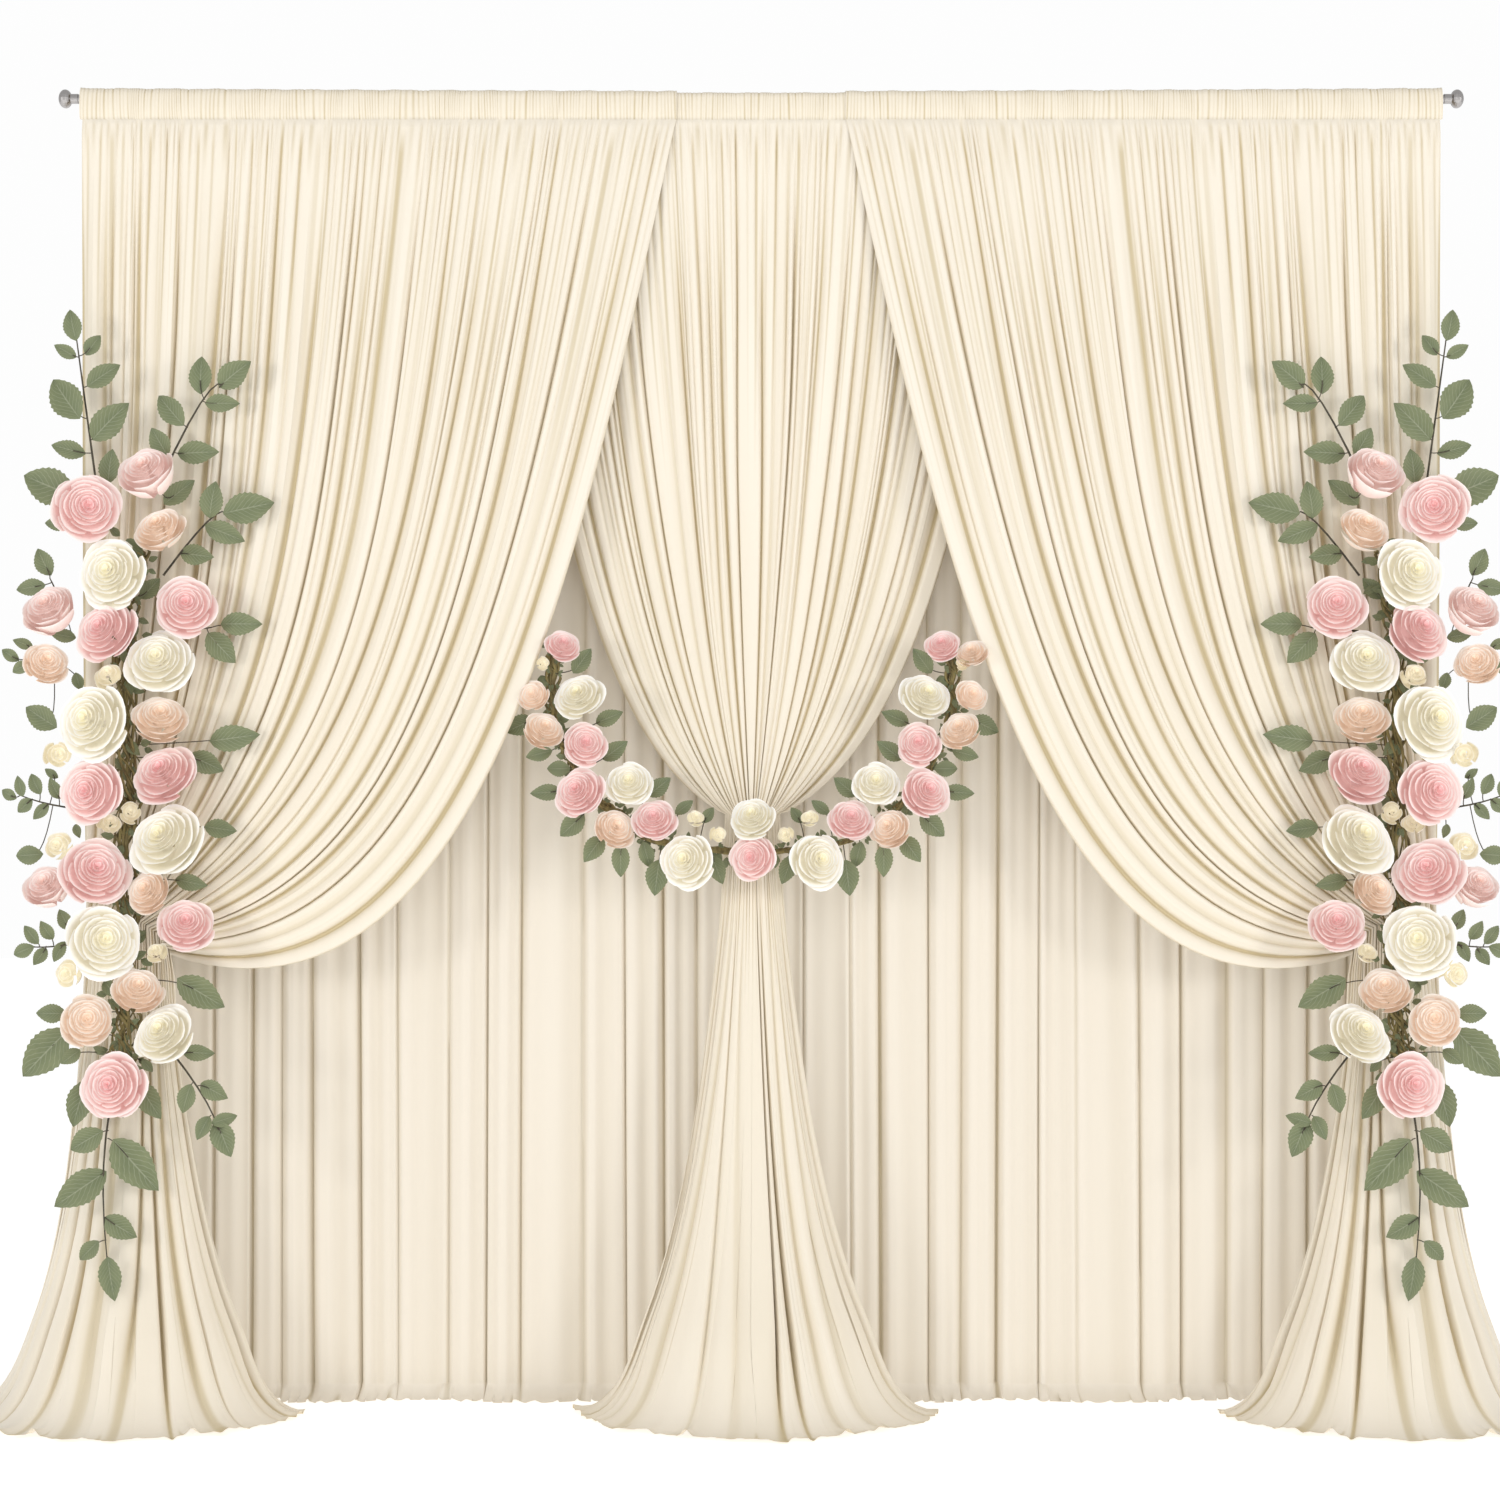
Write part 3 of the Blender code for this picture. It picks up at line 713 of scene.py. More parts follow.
@dataclass
class Heading:
    """Rod pocket: back flap, over the rod, and down the front to the stitch line."""

    half_depth: float  # of the arch over the rod
    crown: float  # height of the arch
    flap: float  # Y of the back flap
    front: float  # Y of the stitch line
    rows: int = 15
    top_row: int = 6  # row along the arch's top

    def rows_of(self, header_x: np.ndarray, lead: float) -> np.ndarray:
        """Pocket rows: an arch over the rod, open at the back flap's foot, its front a little full.

        Args:
            header_x: X of each column.
            lead: shifts the small unevenness of the upper edge.

        Returns:
            Points, (rows, columns, 3).
        """
        turn = np.linspace(0.0, math.pi, self.rows - 6)
        depth = self.half_depth * np.cos(turn)
        height = self.crown * np.sin(turn)
        front = [-1.10 * self.half_depth, -1.08 * self.half_depth, 0.25 * self.front - 0.75 * self.half_depth]
        depth = np.concatenate([[self.flap, self.flap], depth, front, [self.front + 0.0008]])
        height = np.concatenate([[-0.044, -0.022], height, [-0.012, -0.026, -0.040, -0.0475]])
        uneven = 0.04 * np.sin(61.0 * header_x + lead) + 0.03 * np.sin(143.0 * header_x)
        uneven = uneven + 0.42 * np.abs(header_x / HALF_WIDTH) ** 1.5
        crown = np.maximum(height[:, None], 0.0) * uneven[None, :]
        x = np.broadcast_to(header_x, (self.rows, header_x.size))
        y = np.broadcast_to(depth[:, None], x.shape)
        return np.stack([x, y, height[:, None] + crown], axis=-1)


@dataclass
class Pool:
    """Half-round pool of cloth on the floor at a tail's foot."""

    x: float
    half_width: float
    back: float = -0.10  # Y of the straight side
    reach: float = 0.31  # forward from there

    def hem(self, across: np.ndarray) -> np.ndarray:
        """Hem line: half an ellipse, with slow waves and small scallops in its radius.

        Args:
            across: shares across.

        Returns:
            Points, (columns, 3).
        """
        turn = (across - 0.5) * math.pi
        wave = 1.0 + 0.016 * np.sin(7.0 * turn + 1.0) + 0.008 * np.sin(19.0 * turn)
        wave = wave + 0.010 * np.abs(np.sin(13.0 * turn + 1.2 * np.sin(5.0 * turn)))
        x = self.x + self.half_width * wave * np.sin(turn)
        y = self.back - self.reach * wave * np.cos(turn)
        return np.stack([x, y, np.full_like(x, LYING)], axis=1)

    def tail(
        self, gather: np.ndarray, across: np.ndarray, along: np.ndarray, drop: float, spread: np.ndarray
    ) -> np.ndarray:
        """Tail surface: cubics from the gather down and out to the hem.

        Args:
            gather: the gather's row of points.
            across: shares across.
            along: shares down.
            drop: share of the height that the first control hangs below the gather.
            spread: share of the way out where the second control meets the floor, for each column.

        Returns:
            Points, (rows, columns, 3).
        """
        hem = self.hem(across)
        first = gather + 0.10 * (hem - gather)
        first[:, 2] = gather[:, 2] - drop * (gather[:, 2] - FLOOR)
        second = gather + spread[:, None] * (hem - gather)
        second[:, 2] = LYING
        return cubic([gather, first, second, hem], along)


@dataclass
class GatheredPanel:
    """A panel from rod pocket through one gather to a pool, as a fold relief on a smooth base surface.

    The relief stands square to the base surface.  Its height is a share of the folds' spacing there.  Below
    the gather the many folds give way to a few broad ones.
    """

    name: str
    node: str
    folds: Folds
    broad: Folds
    pool: Pool
    heading: Heading
    columns: int
    hang_rows: int
    tail_rows: int
    drop: float  # share of the height that the tail falls before it spreads
    spread: float  # share of the way out at which the tail meets the floor
    heading_x: Pair
    flat: Pair  # width and length of the flat cloth
    pleats_per_fold: float
    outer_fall: float = 0.0  # how much straighter the tail falls at its first edge
    mirror: bool = False
    many_limit: float = 0.028  # most that a fold above the tie stands out
    few_limit: float = 0.060  # most that a fold below the tie stands out
    tie_swell: float = 0.007  # extra height of the folds at the tie
    pleat_height: float = 0.0060
    gather_height: float = 0.0026
    pocket_height: float = 0.0020

    def base(self, across: np.ndarray, along: np.ndarray) -> np.ndarray:
        """Base surface between stitch line and gather."""
        raise NotImplementedError

    def build(self, finish: bpy.types.Material) -> bpy.types.Object:
        """Work out the surface and dress it.

        Args:
            finish: the satin.

        Returns:
            The panel.
        """
        across = np.linspace(0.0, 1.0, self.columns)
        start = np.linspace(0.0, 1.0, self.hang_rows) ** 1.25
        hang = self.base(across, start)
        spread = self.spread * (1.0 - self.outer_fall * (1.0 - smooth_step(across, 0.0, 0.6)))
        tail = self.pool.tail(hang[-1], across, np.linspace(0.0, 1.0, self.tail_rows), self.drop, spread)
        path = np.concatenate([hang, tail[1:]])
        length = run_length(path)
        raised, tone = self.raise_folds(path, length, length[self.hang_rows - 1], across)
        pocket, pocket_tone = self.pocket(across)
        points = np.concatenate([pocket, raised])
        width = abs(self.heading_x[1] - self.heading_x[0])
        layers = cloth_layers(across[None, :] * width, points, np.concatenate([pocket_tone, tone]))
        if self.mirror:
            points = points[:, ::-1] * np.array([-1.0, 1.0, 1.0])
            layers = {layer: values[:, :, ::-1] for layer, values in layers.items()}
        piece = patches(self.name, points[None], layers, finish)
        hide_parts(self.node)
        return piece

    def pocket(self, across: np.ndarray) -> Tuple[np.ndarray, np.ndarray]:
        """Rod pocket with its close gathers.

        Args:
            across: shares across.

        Returns:
            Points, and tones of painted shade, one row for each of the heading's rows.
        """
        header_x = self.heading_x[0] + across * (self.heading_x[1] - self.heading_x[0])
        smooth = self.heading.rows_of(header_x, self.folds.lead)
        across = across[None, :]
        down = np.linspace(0.0, 1.0, len(smooth))[:, None]
        shifted = across + 0.0045 * np.sin(61.0 * across + self.folds.lead) * (down - 0.5)
        shifted = np.clip(shifted, 0.0, 1.0)
        uneven = 0.78 + 0.22 * np.sin(97.0 * across + 6.0 * down)
        pace = 3.0 * self.pleats_per_fold
        gathers = 1.0 - (1.0 - self.folds.pleats(shifted, pace, 0.9)) * uneven
        strokes = 1.0 - self.folds.pleats(shifted, pace, 0.9, 0.20, 3.0)
        puff = np.minimum(1.0, 3.0 * (1.0 - down) + 0.25)
        # painted shade: the pocket a little darker overall, lines in the gathers' valleys, and a line along
        # the arch's top where the cloth turns away from the light
        tone = 0.84 - 0.85 * strokes * uneven
        tone[self.heading.top_row] *= 0.2
        raised = smooth + normals(smooth) * (self.pocket_height * gathers * puff)[..., None]
        return raised, np.clip(tone, 0.0, 1.0)

    def raise_folds(
        self, path: np.ndarray, length: np.ndarray, gather: float, across: np.ndarray
    ) -> Tuple[np.ndarray, np.ndarray]:
        """Raise the folds on the base surface.

        The height is the fold relief times a share of the folds' spacing, under a limit.  Below the tie it
        gives way to the broad folds' relief.  Small pleats and gathers are added under the stitch line.

        Args:
            path: base surface.
            length: length down the cloth at each row.
            gather: that length at the gather.
            across: shares across.

        Returns:
            Raised points, and tones of painted shade from 0 in a valley to 1 on a ridge.
        """
        end = length[-1]
        share = length / end
        many, many_tone = self.folds.relief(across, share)
        few, few_tone = self.broad.relief(across, share)
        change = smooth_step(length, gather + 0.02, gather + 0.48)
        steep = 0.04 + 0.47 * smooth_step(length, 0.0, 0.60)
        deep = np.minimum(fold_spacing(path, self.folds.count) * steep, self.many_limit)
        deep = deep + self.tie_swell * dip(length - gather, 0.15, 2)
        wide = np.minimum(fold_spacing(path, self.broad.count) * 0.80, self.few_limit)
        lying = smooth_step(length, end - 0.30, end - 0.04)
        margin = smooth_step(across, 0.0, 0.06) * smooth_step(1.0 - across, 0.0, 0.06)
        wide = wide * (1.0 - 0.86 * lying) * (0.25 + 0.75 * margin)
        small = self.folds.pleats(across, self.pleats_per_fold, 0.5)
        small_deep = self.pleat_height * smooth_step(length, 0.0, 0.06)
        small_deep = small_deep * (1.0 - smooth_step(length, 0.15, 0.60))
        gathers = self.folds.pleats(across, 2.0 * self.pleats_per_fold, 0.6)
        settled = 0.25 + 0.75 * smooth_step(length, 0.0, 0.015)
        gather_deep = self.gather_height * (1.0 - smooth_step(length, 0.03, 0.20)) * settled
        height = many * deep * (1.0 - change) + few * wide * change
        height = height + small * small_deep + gathers * gather_deep
        raised = path + normals(path) * height[..., None]
        raised[..., 2] += self.crumple(across, length, end)
        raised[..., 2] = np.maximum(raised[..., 2], FLOOR + 0.0008)
        return raised, self.shade(many_tone * (1.0 - change), few_tone * change, across, length, gather)

    def shade(
        self, many: np.ndarray, few: np.ndarray, across: np.ndarray, length: np.ndarray, gather: float
    ) -> np.ndarray:
        """Tone of the cloth below the stitch line.

        The folds' painted valley shade grows downwards.  Painted shade lines of the pleats and gathers darken
        the cloth under the stitch line, the swag and the tail are painted a little darker, the cloth on the
        floor is painted a little lighter, and the hem has painted shade along its edge and painted shadow in
        the gaps under its small gathers.

        Args:
            many: tone of the many folds, times their share.
            few: tone of the broad folds, times their share.
            across: shares across.
            length: length down the cloth at each row.
            gather: that length at the gather.

        Returns:
            Tones from 0 to 1, (rows, columns).
        """
        end = length[-1]
        # painted shade: the folds' valley shade grows downwards
        grown = 0.25 + 0.75 * smooth_step(length, 0.06, 0.50)
        tone = 1.0 - grown * (1.0 - many - few)
        # painted shade lines in the pleats' and gathers' valleys under the stitch line
        lines = 1.0 - self.folds.pleats(across, self.pleats_per_fold, 0.5, 0.12, 4.0)
        strokes = 1.0 - self.folds.pleats(across, 1.5 * self.pleats_per_fold, 0.6, 0.18, 3.0)
        upper = smooth_step(length, 0.01, 0.08) * (1.0 - smooth_step(length, 0.25, 0.90))
        close = smooth_step(length, 0.0, 0.02) * (1.0 - smooth_step(length, 0.02, 0.16))
        tone = tone - 0.80 * lines * upper - 0.55 * strokes * close
        # painted shade: the tail and the swag a little darker; painted light: the cloth that lies on the
        # floor a little lighter
        lower = smooth_step(length, 0.4 * gather, gather)
        swag = smooth_step(length, 0.35 * gather, 0.75 * gather) * (1.0 - lower)
        lying = smooth_step(length, end - 0.30, end - 0.04)
        # painted shade along the hem's edge, and painted shadow in the gaps under the hem's small gathers
        hem_edge_shade = smooth_step(length, end - 0.012, end - 0.002)
        gap_shade = hem_gap_shade(across[None, :] * self.folds.count, 0.45, 0.16, self.folds.lead)
        hem_edge_shade = 0.30 * hem_edge_shade + 0.85 * gap_shade * smooth_step(length, end - 0.050, end - 0.006)
        return np.clip(tone - 0.09 * lower - 0.10 * swag + 0.10 * lying - hem_edge_shade, 0.0, 1.0)

    @staticmethod
    def crumple(across: np.ndarray, length: np.ndarray, end: float) -> np.ndarray:
        """Rise of the hem: short steep lifts at uneven places, fading out up the cloth.

        Args:
            across: shares across.
            length: length down the cloth at each row.
            end: that length at the hem.

        Returns:
            Rise of each point.
        """
        place = 52.0 * across[None, :]
        lifts = np.maximum(np.sin(place + 1.5 * np.sin(0.7 * place)), 0.0) ** 3
        lifts = lifts * (0.5 + 0.5 * np.sin(0.37 * place + 1.0))
        small = np.maximum(np.sin(2.6 * place + 1.0), 0.0) ** 2
        rise = 0.013 * lifts * smooth_step(length, end - 0.08, end) ** 1.5
        return rise + (0.003 + 0.002 * small) * smooth_step(length, end - 0.016, end)


@dataclass
class SidePanel(GatheredPanel):
    """Side panel: a straight outer edge and an inner edge swept across to the tie."""

    hang: Dict[str, List[Triple]] = field(default_factory=dict)

    def base(self, across: np.ndarray, along: np.ndarray) -> np.ndarray:
        """Loft of the outer, middle and inner hang lines."""
        return loft(*[cubic(self.hang[key], along) for key in ("outer edge", "middle", "inner edge")], across)


@dataclass
class CentrePanel(GatheredPanel):
    """Centre panel: both edges flare behind the side panels and meet at the gather."""

    edge: List[Triple] = field(default_factory=list)
    middle: List[Triple] = field(default_factory=list)

    def base(self, across: np.ndarray, along: np.ndarray) -> np.ndarray:
        """Loft of the left edge, the middle and the mirrored edge, led sideways to the gather.

        Args:
            across: shares across.
            along: shares down.

        Returns:
            Points, (rows, columns, 3).
        """
        left = cubic(self.edge, along)
        right = left * np.array([-1.0, 1.0, 1.0])
        right[:, :, 0] += (2.0 * self.middle[-1][0] * along**3)[:, None]
        return loft(left, cubic(self.middle, along), right, across)


@dataclass
class BackPanel:
    """Back panel: straight broad pleats, and a hem that turns forward on the floor."""

    valleys: Sequence[int]
    top: float = -0.004
    front: float = 0.0185  # Y of the top row
    depth: float = 0.058  # how much further back the cloth hangs
    pleat_height: float = 0.030
    valley: float = 0.054  # half width of a valley in pleats
    turn_up: float = 0.030  # height at which the hem leaves the hanging cloth
    crowding: float = 0.44  # how much the columns crowd at the valleys
    fullness: float = 1.6  # cloth's own width over the hanging width
    columns_per_pleat: int = 24
    rows: int = 78

    def build(self, finish: bpy.types.Material) -> bpy.types.Object:
        """Work out the surface and dress it.

        The depth at each point is the hanging depth less the pleat's height.

        Args:
            finish: the satin.

        Returns:
            The panel.
        """
        lines = np.array(self.valleys) * MM
        pleats = len(lines) - 1
        place = np.linspace(0.0, pleats, pleats * self.columns_per_pleat + 1)
        crowded = place - self.crowding * np.sin(TURN * place) / TURN
        x = np.interp(crowded, np.arange(pleats + 1), lines)[None, :]
        fall = np.linspace(0.0, 1.0, self.rows)[:, None]
        relief, tone = self.relief(crowded[None, :], fall)
        opened = smooth_step(fall, 0.02, 0.22)
        hang = self.front + self.depth * smooth_step(fall, 0.0, 0.10)
        y = hang - relief * self.pleat_height * (0.06 + 0.94 * opened)
        height = self.top + (FLOOR + self.turn_up - self.top) * fall
        hanging = np.stack(np.broadcast_arrays(x, y, height), axis=-1)
        lying = self.hem(x, y[-1], crowded[None, :])
        points = np.concatenate([hanging, lying])
        near_hem = np.linspace(0.0, 1.0, len(lying))[:, None]
        # painted light on the hem that lies on the floor, and painted shadow in the gaps under its small
        # lifts
        gap_shade = 0.90 * hem_gap_shade(crowded[None, :], 1.3, 0.06, 0.7) * smooth_step(near_hem, 0.25, 0.85)
        tones = np.concatenate([tone, np.clip(tone[-1:] + 0.10 - gap_shade, 0.0, 1.0)])
        layers = cloth_layers(x * self.fullness, points, tones)
        piece = patches("back_curtain", points[None], layers, finish)
        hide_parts("back_panel")
        return piece

    def relief(self, place: np.ndarray, fall: np.ndarray) -> Tuple[np.ndarray, np.ndarray]:
        """Height of the pleats from 0 to 1, and the tone that goes with it.

        A pleat is a plateau that leans to one side, between crisp valleys exp(-|d / w|^1.4), with d the
        distance from a valley's middle in pleats.  The tone is painted shade: narrower crisp valley lines, a
        faint shade in the valleys, and each plateau lighter on one side and darker on the other as it leans.

        Args:
            place: pleat number of each column.
            fall: share down the cloth at each row.

        Returns:
            Heights and tones, each (rows, columns).
        """
        fold = place + 0.05 * np.sin(3.0 * fall + place) * smooth_step(fall, 0.1, 0.6)
        nearest = np.round(fold)
        away = fold - nearest
        width = self.valley * (1.0 + 0.55 * np.sin(2.3 * nearest))
        slant = 1.0 + 0.55 * np.tanh(12.0 * away) * np.sin(1.7 * nearest + 0.5)
        reach = np.abs(away / (width * slant))
        cleft = dip(reach, 1.0, 1.4)
        crisp = dip(reach, 0.50, 4)
        lean = 0.14 * np.sin(TURN * fold + 1.4 * np.sin(1.1 * np.floor(fold)))
        soft = 0.10 * np.sin(TURN * 2.0 * fold + 2.0 * np.sin(0.8 * fold))
        depth = np.clip(0.72 + 0.35 * np.sin(1.9 * nearest + 1.2 * fall), 0.30, 1.0)
        relief = np.clip(0.86 + lean + soft - 0.86 * depth * cleft, 0.0, 1.0)
        # painted shade: the plateaus' lean and swing, a faint shade in the valleys and crisp dark valley
        # lines
        tone = np.clip(0.94 + 0.55 * (lean + soft) - 0.16 * cleft - 0.75 * depth * crisp, 0.0, 1.0)
        return relief, tone

    @staticmethod
    def hem(x: np.ndarray, foot: np.ndarray, place: np.ndarray) -> np.ndarray:
        """Rows of the hem: a quarter turn onto the floor, then forward with small lifts by the valleys.

        Args:
            x: X of each column.
            foot: Y of the hanging cloth's last row.
            place: pleat number of each column.

        Returns:
            Points, (rows, columns, 3).
        """
        turn = np.linspace(0.0, 1.0, 14)[1:, None]
        reach = 0.062 + 0.014 * np.sin(1.3 * place)
        forward = foot[None, :] - reach * turn**1.5
        nearest = np.round(place)
        lifts = dip(place - nearest, 0.16, 2) * (0.5 + 0.5 * np.sin(5.0 * nearest))
        wave = np.maximum(np.sin(19.0 * place + 2.0), 0.0) ** 2
        rise = 0.016 * lifts * np.sin(math.pi * np.clip(1.15 * turn, 0.0, 1.0)) + 0.006 * wave * turn**2
        low = LYING + 0.0288 * (1.0 - turn) ** 2.2 + rise
        spread = x + 0.005 * np.sin(23.0 * place) * turn
        return np.stack(np.broadcast_arrays(spread, forward, low), axis=-1)


# -------- Garlands --------


class Bloom(Enum):
    """Colours and sizes of rose."""

    PINK = "pink"
    BLUSH = "blush"
    PEACH = "peach"
    IVORY = "ivory"
    BUD = "bud"


# finishes of the petals: name, then the deep colour of the painted shade, the middle colour, the rim colour
# of the painted highlight, and the heart colour
PETALS = {
    Bloom.PINK: Petal(
        "pink_petal", (0.89, 0.61, 0.58), (0.96, 0.82, 0.785), (0.99, 0.90, 0.87), (0.84, 0.42, 0.42)
    ),
    Bloom.BLUSH: Petal(
        "blush_petal", (0.93, 0.73, 0.68), (0.98, 0.86, 0.82), (0.99, 0.93, 0.90), (0.93, 0.66, 0.58)
    ),
    Bloom.PEACH: Petal(
        "peach_petal", (0.93, 0.76, 0.62), (0.98, 0.90, 0.82), (0.99, 0.95, 0.90), (0.92, 0.68, 0.50)
    ),
    Bloom.IVORY: Petal(
        "ivory_petal", (0.88, 0.83, 0.68), (0.98, 0.955, 0.90), (0.99, 0.985, 0.96), (0.91, 0.84, 0.57)
    ),
    Bloom.BUD: Petal(
        "cream_petal", (0.89, 0.82, 0.62), (0.97, 0.93, 0.81), (0.99, 0.97, 0.91), (0.90, 0.82, 0.58)
    ),
}

Rose = Tuple[int, int, int, Bloom]  # x, z and radius in millimetres
Leaf = Tuple[int, int, int, int]  # x and z of foot and tip in millimetres
Surface = Tuple[np.ndarray, ...]  # grids of points, then their UV values where they have any


@dataclass
class RoseShape:
    """One rose: petals set one golden turn apart, upright and tight in the heart, open and curled outside."""

    petals: int = 25
    rows: int = 6
    columns: int = 10
    dome: float = 0.40  # rise of the heart over the outer rims, in radii like the next two
    rim_height: float = 0.02
    foot: float = -0.72
    curl: float = 1.0  # how far the outer rims turn over

    def grids(self, centre: np.ndarray, radius: float, facing: np.ndarray, lead: float) -> Surface:
        """Petal surfaces.

        Petals stand around the axis as nested sloping walls.  A rim's distance from the axis grows from heart
        to outside while its height falls by the dome.  A wall's foot lies nearer to the axis and lower than
        its rim; only the outer third of the petals reach right down to the stalk, and their rims curl over.

        Args:
            centre: middle of the rose.
            radius: outer radius.
            facing: direction in which it looks.
            lead: turns the whorl, so that roses differ.

        Returns:
            Petal grids (petals, rows, columns, 3) and their UV values.
        """
        number = np.arange(self.petals)[:, None, None]
        ring = number / (self.petals - 1.0)
        rise = (np.linspace(0.0, 1.0, self.rows) ** 0.75)[None, :, None]
        side = np.linspace(-1.0, 1.0, self.columns)[None, None, :]
        turn = GOLDEN_TURN * number + lead
        outer = smooth_step(ring, 0.55, 0.95)
        rim = (0.05 + 0.87 * ring**0.88) * (0.90 + 0.10 * self.curl)
        top = self.rim_height + self.dome * (1.0 - ring**1.8) + 0.025 * np.sin(2.7 * number + lead)
        foot = (top - 0.13 - 0.10 * ring) * (1.0 - outer) + self.foot * outer
        inner = np.maximum(rim - 0.10 - 0.20 * ring, 0.0) * (1.0 - outer)
        wall = rise * (1.0 - 0.13 * np.abs(side) ** 3)
        curl = outer * self.curl
        away = inner + (rim - inner) * (1.0 - (1.0 - wall) ** (1.0 + 1.4 * outer)) * (1.0 + 0.05 * side)
        away = away + 0.16 * curl * wall**5
        away = away + (0.012 + 0.020 * ring) * np.sin(4.5 * side + 2.3 * number) * wall**3
        up = foot + (top - foot) * wall**1.15 - 0.16 * curl * wall**6
        up = up + 0.020 * np.sin(5.0 * side + 1.7 * number) * wall**3
        half = (1.70 - 0.70 * ring) * (0.62 + 0.38 * np.sin(math.pi * (0.10 + 0.60 * rise)))
        angle = turn + side * half
        local = np.stack(np.broadcast_arrays(away * np.cos(angle), away * np.sin(angle), up), axis=-1)
        aim = Vector(facing).normalized().to_track_quat("Z", "Y").to_matrix()
        points = local * radius @ np.array(aim).T + centre
        marks = np.stack(np.broadcast_arrays(ring, rise), axis=-1)
        return points, np.broadcast_to(marks, (self.petals, self.rows, self.columns, 2))


ROSE_SHAPES = {
    Bloom.PINK: RoseShape(),
    Bloom.BLUSH: RoseShape(petals=23, dome=0.32, rim_height=0.16, foot=-0.95, curl=0.45),
    Bloom.PEACH: RoseShape(petals=23, dome=0.36, rim_height=0.06, foot=-0.80, curl=0.7),
    Bloom.IVORY: RoseShape(petals=24, rim_height=-0.02, foot=-0.66),
    Bloom.BUD: RoseShape(petals=11, dome=0.55, rim_height=0.05, foot=-0.8, curl=0.4),
}


@dataclass
class LeafShape:
    """Serrated oval leaf, folded a little along its midrib and bent back at the tip."""

    rows: int = 21
    columns: int = 7
    tooth: float = 0.045

    def grids(self, foot: np.ndarray, tip: np.ndarray, droop: np.ndarray, broad: np.ndarray) -> Surface:
        """Leaf surfaces.

        The half width is the sine of pi times the share along to the power 0.85, with teeth that alternate
        from row to row; the sides rise from the midrib by the share across.

        Args:
            foot: (leaves, 3) ends at the stalk.
            tip: (leaves, 3) tips.
            droop: (leaves) forward bow as a share of the length.
            broad: (leaves) half width as a share of the length.

        Returns:
            Leaf grids (leaves, rows, columns, 3) and their UV values.
        """
        length = np.linalg.norm(tip - foot, axis=-1)[:, None, None]
        run = (tip - foot) / length[:, 0]
        over = unit(np.cross(run, np.array([0.0, -1.0, 0.0])))
        out = np.cross(over, run)
        along = np.linspace(0.0, 1.0, self.rows)[None, :, None]
        side = np.linspace(-1.0, 1.0, self.columns)[None, None, :]
        teeth = 1.0 + self.tooth * (1.0 - 2.0 * (np.arange(self.rows) % 2))[None, :, None]
        outline = np.sin(math.pi * along**0.85) ** 0.85 * teeth
        reach = length * broad[:, None, None] * outline * side
        bow = length * droop[:, None, None] * np.sin(math.pi * along)
        ripple = 0.02 * length * np.sin(9.0 * along) * np.abs(side)
        away = 0.20 * np.abs(reach) + bow - 0.10 * length * along**3 + ripple
        spine = foot[:, None, None] + run[:, None, None] * (length * along)[..., None]
        points = spine + over[:, None, None] * reach[..., None] + out[:, None, None] * away[..., None]
        marks = np.stack(np.broadcast_arrays(side, along), axis=-1)
        marks = np.broadcast_to(marks, (len(foot), self.rows, self.columns, 2))
        return points[:, ::-1], marks[:, ::-1]


